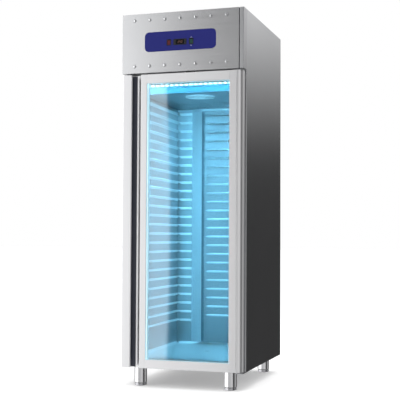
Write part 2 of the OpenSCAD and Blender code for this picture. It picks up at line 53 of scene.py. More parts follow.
def add_node(nt, kind, inputs=(), **props):
    """A node whose inputs, by name or number, are values or other nodes' outputs."""
    n = nt.nodes.new(kind)
    for k, v in props.items():
        setattr(n, k, v)
    for k, v in dict(inputs).items():
        if isinstance(v, bpy.types.NodeSocket):
            nt.links.new(v, n.inputs[k])
        else:
            n.inputs[k].default_value = v
    return n


def new_material(name):
    m = bpy.data.materials.new(name)
    m.use_nodes = True
    nt = m.node_tree
    return m, nt, nt.nodes["Principled BSDF"]


def rough_span(nt, bsdf, fac, lo, hi):
    ramp = add_node(nt, "ShaderNodeMapRange", {"Value": fac, "To Min": lo, "To Max": hi})
    nt.links.new(ramp.outputs["Result"], bsdf.inputs["Roughness"])


def colour_span(nt, bsdf, fac, a, b):
    mix = add_node(nt, "ShaderNodeMix", {0: fac, 6: (*a, 1), 7: (*b, 1)}, data_type="RGBA")
    nt.links.new(mix.outputs[2], bsdf.inputs["Base Color"])


def noise(nt, scale, detail=3.0, stretch=(1, 1, 1)):
    co = add_node(nt, "ShaderNodeTexCoord")
    mp = add_node(nt, "ShaderNodeMapping", {"Vector": co.outputs["Object"], "Scale": stretch})
    tx = add_node(nt, "ShaderNodeTexNoise",
                  {"Vector": mp.outputs["Vector"], "Scale": scale, "Detail": detail})
    return tx.outputs["Fac"]


def bump(nt, bsdf, fac, strength, distance):
    bm = add_node(nt, "ShaderNodeBump", {"Height": fac, "Strength": strength, "Distance": distance})
    nt.links.new(bm.outputs["Normal"], bsdf.inputs["Normal"])


def brushed(name, dark, light, lo, hi, along, relief=0.04):
    """Brushed metal with its grain along one axis."""
    m, nt, b = new_material(name)
    b.inputs["Metallic"].default_value = 1.0
    stretch = [260, 260, 260]
    stretch["XYZ".index(along)] = 3
    grain = noise(nt, 1.0, 4.0, stretch)
    cloud = noise(nt, 3.0, 2.0)
    colour_span(nt, b, cloud, dark, light)
    rough_span(nt, b, grain, lo, hi)
    bump(nt, b, grain, relief, 0.2 * MM)
    return m


def plain(name, a, b2, lo, hi, scale=60.0, metal=0.0, relief=0.0, coat=0.0):
    """Paint, plastic or satin metal with a slight cloud in its colour and roughness."""
    m, nt, b = new_material(name)
    b.inputs["Metallic"].default_value = metal
    b.inputs["Coat Weight"].default_value = coat
    fac = noise(nt, scale)
    colour_span(nt, b, fac, a, b2)
    rough_span(nt, b, fac, lo, hi)
    if relief:
        bump(nt, b, fac, relief, 0.4 * MM)
    return m


def lit(name, a, b2, glow, strength, rough=(0.25, 0.4)):
    """A glowing part: a translucent part with light behind it, or a part with a painted glow."""
    m, nt, b = new_material(name)
    fac = noise(nt, 30.0)
    colour_span(nt, b, fac, a, b2)
    rough_span(nt, b, fac, *rough)
    b.inputs["Emission Color"].default_value = (*glow, 1)
    b.inputs["Emission Strength"].default_value = strength
    return m


def led_strip(name, axis, pitch, base, peak):
    """A diffuser with a brighter spot over every lamp behind it, one of them at the origin."""
    m = lit(name, (0.75, 0.9, 1.0), (0.8, 0.93, 1.0), (0.50, 0.86, 1.0), base, (0.3, 0.45))
    nt = m.node_tree
    co = add_node(nt, "ShaderNodeTexCoord")
    sep = add_node(nt, "ShaderNodeSeparateXYZ", {"Vector": co.outputs["Object"]})
    turn = add_node(nt, "ShaderNodeMath", {0: sep.outputs["XYZ".index(axis)], 1: 2 * math.pi / (pitch * MM)},
                    operation="MULTIPLY")
    wave = add_node(nt, "ShaderNodeMath", {0: turn.outputs[0]}, operation="COSINE")
    span = add_node(nt, "ShaderNodeMapRange",
                    {"Value": wave.outputs[0], "From Min": -1, "From Max": 1, "To Min": base, "To Max": peak})
    nt.links.new(span.outputs["Result"], nt.nodes["Principled BSDF"].inputs["Emission Strength"])
    return m


def glass(name):
    """Clear pane: light passes, and it reflects more towards its edges."""
    m = bpy.data.materials.new(name)
    m.use_nodes = True
    nt = m.node_tree
    nt.nodes.clear()
    clear = add_node(nt, "ShaderNodeBsdfTransparent", {"Color": (0.965, 0.99, 0.985, 1)})
    gloss = add_node(nt, "ShaderNodeBsdfGlossy", {"Color": (0.9, 0.95, 1.0, 1), "Roughness": 0.02})
    layer = add_node(nt, "ShaderNodeFresnel", {"IOR": 2.2})
    co = add_node(nt, "ShaderNodeTexCoord")
    tx = add_node(nt, "ShaderNodeTexNoise", {"Vector": co.outputs["Object"], "Scale": 2.0})
    scale = add_node(nt, "ShaderNodeMapRange", {"Value": tx.outputs["Fac"], "To Min": 0.55, "To Max": 0.75})
    times = add_node(nt, "ShaderNodeMath", {0: layer.outputs["Fac"], 1: scale.outputs["Result"]},
                     operation="MULTIPLY")
    mix = add_node(nt, "ShaderNodeMixShader", {0: times.outputs[0], 1: clear.outputs[0], 2: gloss.outputs[0]})
    add_node(nt, "ShaderNodeOutputMaterial", {"Surface": mix.outputs[0]})
    return m


# Brushed metals: dark and light colour, roughness span, grain axis, relief
# Plain ones: two colours, roughness span, cloud scale, metal, relief, coat
MAT = {
    "skin_z": brushed("skin_steel_z", (0.50, 0.505, 0.52), (0.56, 0.565, 0.58), 0.20, 0.28, "Z"),
    "skin_x": brushed("skin_steel_x", (0.52, 0.525, 0.54), (0.58, 0.585, 0.60), 0.26, 0.36, "X"),
    "front": brushed("front_steel", (0.66, 0.665, 0.68), (0.71, 0.715, 0.73), 0.20, 0.28, "X"),
    "stud": brushed("stud_steel", (0.70, 0.705, 0.72), (0.76, 0.765, 0.78), 0.06, 0.12, "X", 0.01),
    "cheek": brushed("cheek_steel", (0.50, 0.505, 0.52), (0.54, 0.545, 0.56), 0.27, 0.36, "Z"),
    "door": brushed("door_aluminium", (0.74, 0.74, 0.755), (0.79, 0.79, 0.80), 0.30, 0.38, "Z", 0.02),
    "rail": brushed("rail_aluminium", (0.76, 0.76, 0.775), (0.81, 0.81, 0.82), 0.32, 0.40, "X", 0.02),
    # The liner, duct, pan, ledge and wing steels carry a blue cast that is painted light, standing for the
    # blue lamps inside; their grey is the steel's own.
    "liner": brushed("liner_steel", (0.34, 0.38, 0.41), (0.39, 0.43, 0.46), 0.28, 0.38, "Y"),
    "duct": brushed("duct_face_steel", (0.19, 0.21, 0.23), (0.23, 0.25, 0.27), 0.42, 0.52, "Z"),
    "rear": plain("rear_sheet", (0.42, 0.425, 0.43), (0.50, 0.505, 0.51), 0.38, 0.50, 14, 0.6),
    "pan": plain("pan_steel", (0.66, 0.72, 0.76), (0.72, 0.78, 0.82), 0.26, 0.34, 12, 0.3),
    "ledge": plain("ledge_steel", (0.78, 0.84, 0.88), (0.84, 0.89, 0.92), 0.30, 0.40, 30, 0.35),
    "wing": plain("duct_steel", (0.58, 0.63, 0.67), (0.63, 0.68, 0.72), 0.34, 0.44, 25, 0.5),
    # painted shadow for the dark strips beside the duct's folds
    "strip": plain("duct_fold_painted_shadow", (0.03, 0.06, 0.08), (0.05, 0.08, 0.10), 0.45, 0.6, 40),
    # painted glow for the glazing spacer, which is no lamp
    "edge": lit("spacer_painted_glow", (0.70, 0.90, 0.95), (0.76, 0.94, 0.98), (0.60, 0.90, 1.0), 0.75),
    "galvanised": plain("galvanised_sheet", (0.50, 0.52, 0.54), (0.66, 0.68, 0.70), 0.35, 0.55, 25, 1.0),
    "foam": plain("foam_cut", (0.80, 0.72, 0.46), (0.88, 0.82, 0.60), 0.8, 0.95, 180, 0.0, 0.4),
    "breaker": plain("breaker_plastic", (0.66, 0.67, 0.69), (0.72, 0.73, 0.75), 0.30, 0.42, 12),
    "white_wire": plain("white_wire", (0.78, 0.80, 0.82), (0.86, 0.88, 0.90), 0.3, 0.4),
    "motor": plain("motor_paint", (0.025, 0.026, 0.028), (0.045, 0.046, 0.05), 0.32, 0.48, 90, 0.0, 0.1),
    "fan": plain("fan_plastic", (0.05, 0.055, 0.06), (0.08, 0.085, 0.09), 0.4, 0.55, 80),
    "coil": brushed("coil_aluminium", (0.66, 0.67, 0.69), (0.78, 0.79, 0.81), 0.25, 0.4, "Z"),
    "boiler": brushed("boiler_steel", (0.48, 0.49, 0.51), (0.56, 0.57, 0.59), 0.24, 0.38, "X"),
    "bracket": brushed("bracket_steel", (0.42, 0.43, 0.45), (0.52, 0.53, 0.55), 0.28, 0.4, "X"),
    "white": plain("white_plastic", (0.86, 0.87, 0.87), (0.91, 0.92, 0.92), 0.4, 0.5),
    "channel": brushed("led_channel", (0.78, 0.79, 0.80), (0.84, 0.85, 0.86), 0.3, 0.4, "X", 0.02),
    "copper": plain("copper_pipe", (0.70, 0.36, 0.22), (0.78, 0.46, 0.30), 0.2, 0.38, 20, 1.0),
    "box": plain("box_paint", (0.56, 0.57, 0.57), (0.62, 0.63, 0.63), 0.4, 0.5, 300, 0.0, 0.15),
    "black": plain("black_plastic", (0.006, 0.006, 0.007), (0.011, 0.011, 0.012), 0.35, 0.5, 200, 0.0, 0.1),
    "foot": brushed("foot_steel", (0.60, 0.60, 0.615), (0.68, 0.68, 0.695), 0.12, 0.20, "Z", 0.01),
    "foot_end": brushed("foot_end", (0.40, 0.40, 0.42), (0.50, 0.50, 0.52), 0.18, 0.28, "Z", 0.01),
    "overlay": plain("overlay_film", (0.010, 0.013, 0.115), (0.013, 0.016, 0.130), 0.42, 0.5, 60, 0.0, 0.02),
    "display": plain("display_window", (0.004, 0.004, 0.005), (0.007, 0.007, 0.009), 0.06, 0.12, 10,
                     0.0, 0.0, 0.3),
    "key": plain("key_grey", (0.014, 0.014, 0.016), (0.020, 0.020, 0.023), 0.42, 0.55),
    "print": plain("white_print", (0.62, 0.64, 0.72), (0.70, 0.72, 0.78), 0.4, 0.5),
    "red": lit("rocker_red", (0.045, 0.005, 0.009), (0.06, 0.008, 0.012), (1.0, 0.06, 0.05), 0.018),
    "green": lit("rocker_green", (0.003, 0.024, 0.020), (0.005, 0.034, 0.028), (0.05, 0.8, 0.55), 0.010),
    "digit": lit("display_digit", (0.10, 0.05, 0.04), (0.14, 0.07, 0.05), (1.0, 0.45, 0.30), 0.06),
    "gasket": plain("gasket_rubber", (0.030, 0.030, 0.034), (0.045, 0.045, 0.05), 0.5, 0.65, 90),
    # dark rubber of the seal, buffer and cheek seam, also used as painted shade in the grip and round the
    # studs
    "groove": plain("dark_seal_and_painted_shade", (0.035, 0.038, 0.055), (0.05, 0.053, 0.07), 0.35, 0.5, 40),
    "led_x": led_strip("led_diffuser_x", "X", 28, 0.6, 6.0),
    "led_z": led_strip("led_diffuser_z", "Z", 27, 1.5, 3.0),
    "glass": glass("door_glass"),
}
DULL = {"overlay": 0.15, "display": 0.15, "black": 0.25, "key": 0.25, "red": 0.3, "green": 0.3}
for mat_name, specular in DULL.items():
    shader = MAT[mat_name].node_tree.nodes["Principled BSDF"]
    shader.inputs["Specular IOR Level"].default_value = specular


# ------------------------------------------------------------------ mesh tools

def keep(o, mat, body, replaces=()):
    o.data.materials.clear()
    o.data.materials.append(MAT[mat])
    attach(o, body)
    if replaces:
        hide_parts(*replaces)
    return o


def middle(node):
    return (B[node][0] + B[node][1]) / 2


def to_object(name, bm, angle=35):
    """An object from a bmesh in metres, smooth but for edges sharper than the angle."""
    bmesh.ops.recalc_face_normals(bm, faces=bm.faces)
    me = bpy.data.meshes.new(name)
    bm.to_mesh(me)
    bm.free()
    o = bpy.data.objects.new(name, me)
    bpy.context.scene.collection.objects.link(o)
    me.shade_smooth()
    me.set_sharp_from_angle(angle=math.radians(angle))
    w = o.modifiers.new("normals", "WEIGHTED_NORMAL")
    w.keep_sharp = True
    w.mode = "FACE_AREA"
    return o


def from_bmesh(name, bm, angle=35):
    bm.transform(Matrix.Scale(MM, 4))
    return to_object(name, bm, angle)


def add_block(bm, lo, hi, r=0.0, seg=2):
    """A box with rolled edges, added to bm."""
    lo, hi = Vector(lo), Vector(hi)
    size, mid = hi - lo, (hi + lo) / 2
    vs = bmesh.ops.create_cube(bm, size=1.0)["verts"]
    for v in vs:
        v.co = Vector((v.co.x * size.x, v.co.y * size.y, v.co.z * size.z)) + mid
    if r > 0:
        r = min(r, 0.45 * min(size))
        es = list({e for v in vs for e in v.link_edges})
        bmesh.ops.bevel(bm, geom=es, offset=r, segments=seg, profile=0.5, affect="EDGES")


def blocks(name, boxes, r=0.5, seg=2):
    bm = bmesh.new()
    for lo, hi in boxes:
        add_block(bm, lo, hi, r, seg)
    return from_bmesh(name, bm)


def rot_to(axis):
    """Turns local x, y and z to X, Z and -Y for axis Y, or to Y, Z and X for axis X."""
    if axis == "Z":
        return Matrix.Identity(4)
    if axis == "Y":
        return Matrix(((1, 0, 0, 0), (0, 0, -1, 0), (0, 1, 0, 0), (0, 0, 0, 1)))
    return Matrix(((0, 0, 1, 0), (1, 0, 0, 0), (0, 1, 0, 0), (0, 0, 0, 1)))


def sheet_mesh(name, loops, axis, lo, hi, bevel=0.4, seg=2):
    """Flat outline with holes, given thickness along an axis and a rolled edge."""
    lo, hi = lo * MM, hi * MM
    bevel = min(bevel * MM, (hi - lo) * 0.45)
    cu = bpy.data.curves.new(name + "_c", "CURVE")
    cu.dimensions = "2D"
    cu.fill_mode = "BOTH"
    cu.extrude = (hi - lo) / 2 - bevel
    cu.bevel_depth = bevel
    cu.bevel_resolution = seg
    cu.offset = -bevel
    for loop in loops:
        sp = cu.splines.new("POLY")
        sp.points.add(len(loop) - 1)
        for p, (x, y) in zip(sp.points, loop):
            p.co = (x * MM, y * MM, 0, 1)
        sp.use_cyclic_u = True
    o = bpy.data.objects.new(name + "_c", cu)
    bpy.context.scene.collection.objects.link(o)
    bpy.context.view_layer.update()
    me = bpy.data.meshes.new_from_object(o.evaluated_get(bpy.context.evaluated_depsgraph_get()))
    bpy.data.objects.remove(o)
    shift = Vector([float(axis == letter) for letter in "XYZ"]) * (hi + lo) / 2
    me.transform(Matrix.Translation(shift) @ rot_to(axis))
    bm = bmesh.new()
    bm.from_mesh(me)
    bmesh.ops.remove_doubles(bm, verts=bm.verts, dist=1e-6)
    return to_object(name, bm)


def arc(cx, cy, r, a0, a1, n):
    turns = [math.radians(a0 + (a1 - a0) * i / n) for i in range(n + 1)]
    return [(cx + r * math.cos(t), cy + r * math.sin(t)) for t in turns]


def ring(cx, cy, r, n=48):
    return arc(cx, cy, r, 0, 360, n)[:-1]


def rect(x0, y0, x1, y1, r=0.0, seg=8):
    """An upright rectangle between two corners, with round corners if r is given."""
    if r <= 0:
        return [(x0, y0), (x1, y0), (x1, y1), (x0, y1)]
    centres = ((x1 - r, y0 + r), (x1 - r, y1 - r), (x0 + r, y1 - r), (x0 + r, y0 + r))
    return [p for k, (cx, cy) in enumerate(centres) for p in arc(cx, cy, r, 90 * k - 90, 90 * k, seg)]


def slot_at(cx, cy, half_x, half_y, r=0.0, seg=8):
    return rect(cx - half_x, cy - half_y, cx + half_x, cy + half_y, r, seg)


def add_lathe(bm, profile, at, axis="Z", n=48):
    """A profile of (radius, height) points turned about an axis through a point."""
    rows = []
    m = Matrix.Translation(at) @ rot_to(axis)
    for r, h in profile:
        circle = ring(0, 0, r, n) if r > 0 else [(0, 0)]
        rows.append([bm.verts.new(m @ Vector((x, y, h))) for x, y in circle])
    for a, b in zip(rows, rows[1:]):
        for i in range(n):
            j = (i + 1) % n
            face = [a[i % len(a)], a[j % len(a)], b[j % len(b)], b[i % len(b)]]
            face = [v for k, v in enumerate(face) if v not in face[:k]]
            if len(face) > 2:
                bm.faces.new(face)


def lathe(name, profile, at, axis="Z", n=48, angle=35):
    bm = bmesh.new()
    add_lathe(bm, profile, at, axis, n)
    return from_bmesh(name, bm, angle)


def add_loft(bm, sections, ends="capped"):
    """A skin through sections of equally many points; its ends are capped, open or joined."""
    rows = [[bm.verts.new(p) for p in section] for section in sections]
    following = rows[1:] + rows[:1] if ends == "joined" else rows[1:]
    for a, b in zip(rows, following):
        for i in range(len(a)):
            j = (i + 1) % len(a)
            bm.faces.new((a[i], a[j], b[j], b[i]))
    if ends == "capped":
        bm.faces.new(rows[0][::-1])
        bm.faces.new(rows[-1])


def add_grid(bm, rows):
    for a, b in zip(rows, rows[1:]):
        for i in range(len(a) - 1):
            bm.faces.new((a[i], a[i + 1], b[i + 1], b[i]))


def add_half_round(bm, a, b, flat, bulge, r, n=10):
    """A half-round bar from a to b; flat and bulge are its two cross directions."""
    flat, bulge = Vector(flat), Vector(bulge)
    half = arc(0, 0, r, 0, 180, n)
    add_loft(bm, [[Vector(p) + flat * u + bulge * v for u, v in half] for p in (a, b)])


def add_tube(bm, pts, r, n=14, ends="capped"):
    """A round tube along a list of points."""
    pts = [Vector(p) for p in pts]
    sections, up = [], None
    for i, p in enumerate(pts):
        d = (pts[min(i + 1, len(pts) - 1)] - pts[max(i - 1, 0)]).normalized()
        if up is None:
            up = d.orthogonal().normalized()
        up = (up - d * up.dot(d)).normalized()
        side = d.cross(up)
        sections.append([p + up * u + side * v for u, v in ring(0, 0, r, n)])
    add_loft(bm, sections, ends)


def rounded_path(pts, r, n=6):
    """The same route with each corner turned into a curve."""
    pts = [Vector(p) for p in pts]
    out = [pts[0]]
    for a, b, c in zip(pts, pts[1:], pts[2:]):
        u, v = (a - b).normalized(), (c - b).normalized()
        reach = min(r, (a - b).length * 0.45, (c - b).length * 0.45)
        s, e = b + u * reach, b + v * reach
        for i in range(n + 1):
            t = i / n
            out.append((1 - t) ** 2 * s + 2 * t * (1 - t) * b + t ** 2 * e)
    out.append(pts[-1])
    return out


def swap(node, mat, body, bevel=0.6, seg=2):
    """The CAD node's own shape with its flats joined and its edges rolled, in the node's place."""
    bm = bmesh.new()
    bm.from_mesh(NODES[node].data)
    bmesh.ops.remove_doubles(bm, verts=bm.verts, dist=1e-6)
    bmesh.ops.dissolve_limit(bm, angle_limit=math.radians(1), verts=bm.verts, edges=bm.edges)
    o = to_object(node + "_v", bm, 30)
    b = o.modifiers.new("edge", "BEVEL")
    b.width = bevel * MM
    b.segments = seg
    b.limit_method = "ANGLE"
    b.angle_limit = math.radians(30)
    b.use_clamp_overlap = True
    b.harden_normals = False
    o.modifiers.move(1, 0)
    return keep(o, mat, body, [node])


# ------------------------------------------------------------------ outer shell

T = 1.5  # thickness of the formed sheets


def folded_side(name, node, sign):
    """Side panel as one folded sheet with rolled outer corners."""
    lo, hi = B[node]
    fold, r = 16, 2.2
    xo = hi.x if sign > 0 else lo.x
    y0, y1 = lo.y, hi.y
    outer = arc(0, y0 + r, r, -90, 0, 6) + arc(0, y1 - r, r, 0, 90, 6)
    inner = arc(0, y1 - r, r - T, 90, 0, 6) + arc(0, y0 + r, r - T, 0, -90, 6)
    outer, inner = [[(xo + sign * (x - r), y) for x, y in pts] for pts in (outer, inner)]
    xf = xo - sign * fold
    loop = [(xf, y0)] + outer + [(xf, y1), (xf, y1 - T)] + inner + [(xf, y0 + T)]
    return sheet_mesh(name, [loop], "Z", lo.z, hi.z, 0.3, 1)


keep(folded_side("side_right_skin", "side_panel_right", 1), "skin_z", "cabinet",
     ["side_panel_right"])
keep(folded_side("side_left_skin", "side_panel_left", -1), "skin_z", "cabinet",
     ["side_panel_left"])

keep(blocks("roof_skin", [B["roof_panel"]], 0.6), "skin_x", "cabinet", ["roof_panel"])
lo, hi = B["base_panel"]
drain = middle("floor_drain")
keep(sheet_mesh("base_skin", [rect(lo.x, lo.y, hi.x, hi.y), ring(drain.x, drain.y, 10.5, 40)],
                "Z", lo.z, hi.z, 0.3, 1), "skin_x", "cabinet", ["base_panel"])

# rear panel with vent slots, a pressed louvre over each, and the cable hole
lo, hi = B["rear_panel"]
gland = middle("cable_gland")
vent_z = B["machine_tray"][0].z + 110
VENTS = [(col * 190, vent_z + row * 26) for col in (-1, 0, 1) for row in range(7)]
holes = [slot_at(x, z, 75, 4.5, 4.4, 6) for x, z in VENTS] + [ring(gland.x, gland.z, 11, 32)]
keep(sheet_mesh("rear_skin", [rect(lo.x, lo.z, hi.x, hi.z)] + holes, "Y", lo.y, hi.y, 0.3, 1),
     "rear", "cabinet", ["rear_panel"])
bm = bmesh.new()
for x, z in VENTS:
    rows = []
    for k in range(17):
        swell = math.sin(math.pi * min(1, max(0.08, min(k, 16 - k) / 3)) / 2)
        rows.append([bm.verts.new((x - 70 + 140 * k / 16, hi.y - 0.4 + swell * 0.7 * max(0.1, abs(v)),
                                   z + 8 + u * 0.6)) for u, v in arc(0, 0, 6.2, 0, 180, 8)])
    add_grid(bm, rows)
bmesh.ops.solidify(bm, geom=bm.faces[:], thickness=0.6)
keep(from_bmesh("rear_louvres", bm, 50), "rear", "cabinet")

# screws round the rear panel, their heads turned to the rear
bm = bmesh.new()
head = [(0, 1.8), (2, 1.8), (3.5, 1.1), (4.2, 0), (4.2, -0.5), (0, -0.5)]
for x in (lo.x + 18, hi.x - 18):
    for k in range(9):
        add_lathe(bm, head, (x, hi.y + 0.4, lo.z + 30 + k * (hi.z - lo.z - 60) / 8), "Y", 20)
for v in bm.verts:
    v.co.y = 2 * (hi.y + 0.4) - v.co.y
keep(from_bmesh("rear_screws", bm), "bracket", "cabinet")

swap("cable_gland", "black", "cabinet")
swap("machine_tray", "galvanised", "cabinet", 0.3, 1)

# ------------------------------------------------------------------ control fascia

FRONT = B["fascia_cheeks"][0].y  # front face of cheek, fascia and door
fl, fh = B["fascia_panel"]
x0, x1, z0, z1 = fl.x, fh.x, fl.z, fh.z
ol, oh = B["control_overlay"]
OX = middle("control_overlay").x
CZ = middle("controller_body").z
SWITCHES = (OX - 64.5, OX + 64.5)
cutouts = [slot_at(OX, CZ, 35.5, 14.5)] + [slot_at(x, CZ, 11.5, 15.5) for x in SWITCHES]
keep(sheet_mesh("fascia_sheet", [rect(x0, z0, x1, z1, 2.0, 5)] + cutouts, "Y", FRONT, FRONT + T, 0.6, 3),
     "front", "fascia", ["fascia_panel"])
# returns behind the sheet, and the seal along its right edge
keep(blocks("fascia_returns", [
    ((x0, FRONT + 0.8, z0 + 0.6), (x0 + T, fh.y, z1 - 60)),
    ((x0, FRONT + 0.8, z0 + 0.6), (x0 + T, FRONT + 44, z1 - 0.4)),
    ((x0 + 0.4, FRONT + 0.8, z0), (x1 - 0.4, FRONT + 40, z0 + T)),
    ((x0 + 0.4, FRONT + 0.8, z1 - T), (x1 - 0.4, FRONT + 44, z1)),
], 0.4), "front", "fascia")
keep(blocks("fascia_seal", [((x1 - T, FRONT + 1.2, z0 + 0.6), (x1, FRONT + 21, z1 - 0.6))], 0.4),
     "groove", "fascia")
# hinge lugs with a real eye, round the pins' axis
PIN_Y, PIN_Z = FRONT + 30, z1 - 20
for k, x in enumerate((x0 + 28, x1 - 16)):
    eye = [(PIN_Y - 10, z1 - T)] + arc(PIN_Y, PIN_Z, 10, 180, 360, 12) + [(PIN_Y + 10, z1 - T)]
    keep(sheet_mesh("fascia_lug_%d" % k, [eye, ring(PIN_Y, PIN_Z, 4.06, 40)], "X", x, x + 6, 0.4, 1),
         "bracket", "fascia")
# two rows of pressed studs, each ringed with painted shade
STUDS = [(OX + k * 88.5, z0 + up) for k in range(-3, 4) for up in (39.5, 294.5)]
bm = bmesh.new()
cone = [(9.0, -0.6), (9.0, 0.0), (8.8, 0.3), (6.8, 2.4), (6.2, 2.72), (5.2, 2.86), (3.0, 2.93), (0, 2.95)]
for x, z in STUDS:
    add_lathe(bm, cone, (x, FRONT + 0.02, z), "Y", 40)
keep(from_bmesh("fascia_studs", bm, 40), "stud", "fascia")
# painted shade: a thin dark ring on the sheet round every stud, standing for the shade at its foot
bm = bmesh.new()
gap = [(8.9, -0.1), (8.9, 0.05), (9.9, 0.05), (9.9, -0.1), (8.9, -0.1)]
for x, z in STUDS:
    add_lathe(bm, gap, (x, FRONT, z), "Y", 40)
keep(from_bmesh("stud_painted_shade_rings", bm, 40), "groove", "fascia")
swap("fascia_catch", "black", "fascia", 1.2, 3)

# blue overlay with the same cut-outs
keep(sheet_mesh("overlay_film", [rect(ol.x, ol.z, oh.x, oh.z, 25, 14)] + cutouts, "Y", ol.y, oh.y, 0.5, 3),
     "overlay", "fascia", ["control_overlay"])

# controller bezel and its case
wells = [slot_at(OX, CZ, 23, 12, 1.2, 4)]
wells += [slot_at(OX + u, CZ + v, 4.5, 4.5, 1.6, 4) for u in (-29.5, 29.5) for v in (-7, 7)]
keep(sheet_mesh("controller_bezel", [slot_at(OX, CZ, 38, 16.5, 3, 6)] + wells, "Y",
                B["controller_body"][0].y, ol.y + 0.1, 0.4, 2),
     "black", "fascia", ["controller_body"])
case = [((OX - 35.4, FRONT + 6, CZ - 14.4), (OX + 35.4, FRONT + 50, CZ + 14.4))]
for xa, xb, za, zb in ((-35.4, -34.2, -14.4, 14.4), (34.2, 35.4, -14.4, 14.4),
                       (-24.4, 24.4, -14.4, -12.6), (-24.4, 24.4, 12.6, 14.4)):
    case.append(((OX + xa, ol.y, CZ + za), (OX + xb, FRONT + 7, CZ + zb)))
for k in range(9):
    rib = OX - 33 + k * 7.6
    case.append(((rib, FRONT + 49, CZ - 10), (rib + 4.4, FRONT + 50, CZ + 10)))
keep(blocks("controller_case", case, 0.6), "black", "fascia")
dl, dh = B["display_window"]
keep(blocks("display_pane", [((dl.x, dl.y + 0.2, dl.z), dh)], 0.5, 3),
     "display", "fascia", ["display_window"])


def digit(bm, cx, on):
    """A seven-segment figure made of bevelled bars."""
    hw, hh, t = 3.25, 6.0, 1.3
    gap = t * 0.6
    bars = {
        "a": ((-hw + t, hh - t), (hw - t, hh)), "d": ((-hw + t, -hh), (hw - t, -hh + t)),
        "g": ((-hw + t, -t / 2), (hw - t, t / 2)), "b": ((hw - t, gap), (hw, hh - gap)),
        "c": ((hw - t, -hh + gap), (hw, -gap)), "e": ((-hw, -hh + gap), (-hw + t, -gap)),
        "f": ((-hw, gap), (-hw + t, hh - gap)),
    }
    for segment in on:
        (xa, za), (xb, zb) = bars[segment]
        add_block(bm, (cx + xa, dl.y, CZ + za), (cx + xb, dl.y + 0.2, CZ + zb), 0.05, 1)


bm = bmesh.new()
digit(bm, OX - 9, "abged")
digit(bm, OX, "abcdfg")
add_block(bm, (OX + 5.2, dl.y, CZ - 6), (OX + 6.4, dl.y + 0.2, CZ - 4.8), 0.05, 1)
digit(bm, OX + 10.5, "abcdef")
keep(from_bmesh("display_digits", bm), "digit", "fascia")

for n, body in (("key_up", "up_key"), ("key_down", "down_key"),
                ("key_set", "set_key"), ("key_light", "light_key")):
    lo, hi = B[n]
    keep(sheet_mesh(n + "_cap", [rect(lo.x, lo.z, hi.x, hi.z, 1.5, 6)], "Y", lo.y, hi.y, 0.9, 4),
         "key", body, [n])

for k, cx in enumerate(SWITCHES):
    hole = slot_at(cx, CZ, 8.9, 13.4, 0.8, 3)
    keep(sheet_mesh("switch_bezel_%d" % k, [slot_at(cx, CZ, 13, 17, 2, 6), hole], "Y",
                    B["switch_housings"][0].y, ol.y + 0.1, 0.3, 2),
         "black", "fascia", ["switch_housings"] if k == 0 else [])
    keep(sheet_mesh("switch_case_%d" % k, [slot_at(cx, CZ, 11.4, 15.4, 1, 3), hole], "Y",
                    ol.y, FRONT + 18, 0.3, 1), "black", "fascia")
    back = [((cx - 11.4, FRONT + 18, CZ - 15.4), (cx + 11.4, FRONT + 22, CZ + 15.4))]
    back += [((x, FRONT + 22, CZ - 8), (x + 1, FRONT + 28, CZ - 3)) for x in (cx - 7, cx + 6)]
    keep(blocks("switch_back_%d" % k, back, 0.4), "black", "fascia")
swap("power_rocker", "red", "power_switch", 1.1, 4)
swap("light_rocker", "green", "light_switch", 1.1, 4)

# printed dashes over and under the light switch
dashes = [((SWITCHES[1] - 3, ol.y - 0.04, CZ + z), (SWITCHES[1] + 3, ol.y + 0.06, CZ + z + 1.6))
          for z in (21, -23.6)]
keep(blocks("overlay_print", dashes, 0), "print", "fascia")

# fixed cheek on the right with a buffer strip beside the panel's edge, and the hidden post on the left
cheek_x, cheek_end = B["fascia_cheeks"][1].x - 23, B["fascia_cheeks"][1].x
za, zb = fl.z, B["fascia_cheeks"][1].z
back_y = B["side_panel_right"][0].y
keep(blocks("cheek_front", [((cheek_x, FRONT, za), (cheek_end - 4.6, FRONT + 3, zb)),
                            ((cheek_end - 3.4, FRONT, za), (cheek_end, FRONT + 3, zb))], 0.7, 3),
     "cheek", "cabinet", ["fascia_cheeks"])
keep(blocks("cheek_seam", [((cheek_x + 1, FRONT + 1.6, za + 0.6), (cheek_end - 1, FRONT + 2.9, zb - 0.6))],
            0.2, 1), "groove", "cabinet")
keep(blocks("cheek_body", [((x, FRONT + 2.9, za), (x + T, back_y, zb)) for x in (cheek_end - T, cheek_x)],
            0.4), "cheek", "cabinet")
keep(blocks("cheek_buffer", [((cheek_x - 1.6, FRONT + 2, za + 1), (cheek_x + 0.1, FRONT + 18, zb - 1))],
            0.4), "groove", "cabinet")
post_x = B["side_panel_left"][0].x + 3
bm = bmesh.new()
add_lathe(bm, [(0, 0), (3.3, 0), (4, 0.7), (4, 25), (0, 25)], (cheek_x - 25, PIN_Y, PIN_Z), "X", 32)
add_lathe(bm, [(0, 0), (4, 0), (4, 33.3), (3.3, 34), (0, 34)], (post_x + 3, PIN_Y, PIN_Z), "X", 32)
keep(from_bmesh("fascia_pins", bm), "bracket", "cabinet")
keep(blocks("fascia_post", [
    ((post_x, FRONT + 8, za + 8), (post_x + 3, back_y, zb - 80)),
    ((post_x, PIN_Y - 8, zb - 81), (post_x + 3, PIN_Y + 8, zb - 12)),
    ((post_x + 2.9, back_y - 3, za + 8), (post_x + 21, back_y, zb - 80)),
], 0.5), "bracket", "cabinet")

# ------------------------------------------------------------------ door

grip_lo, grip_hi = B["handle_stile"]
roll_lo, roll_hi = B["hinge_stile"]
DX0, DX1 = grip_lo.x, roll_hi.x  # the door's edges
DY0, DY1 = grip_lo.y, grip_hi.y
DZ0, DZ1 = grip_lo.z, grip_hi.z
GX0, GX1 = grip_hi.x, roll_lo.x  # the glass opening between stiles and rails
GZ0, GZ1 = DZ0 + 45, DZ1 - 49
REBATE = 10  # depth of the glazing groove
GLAZING = (DY0 + 3, DY0 + 35)

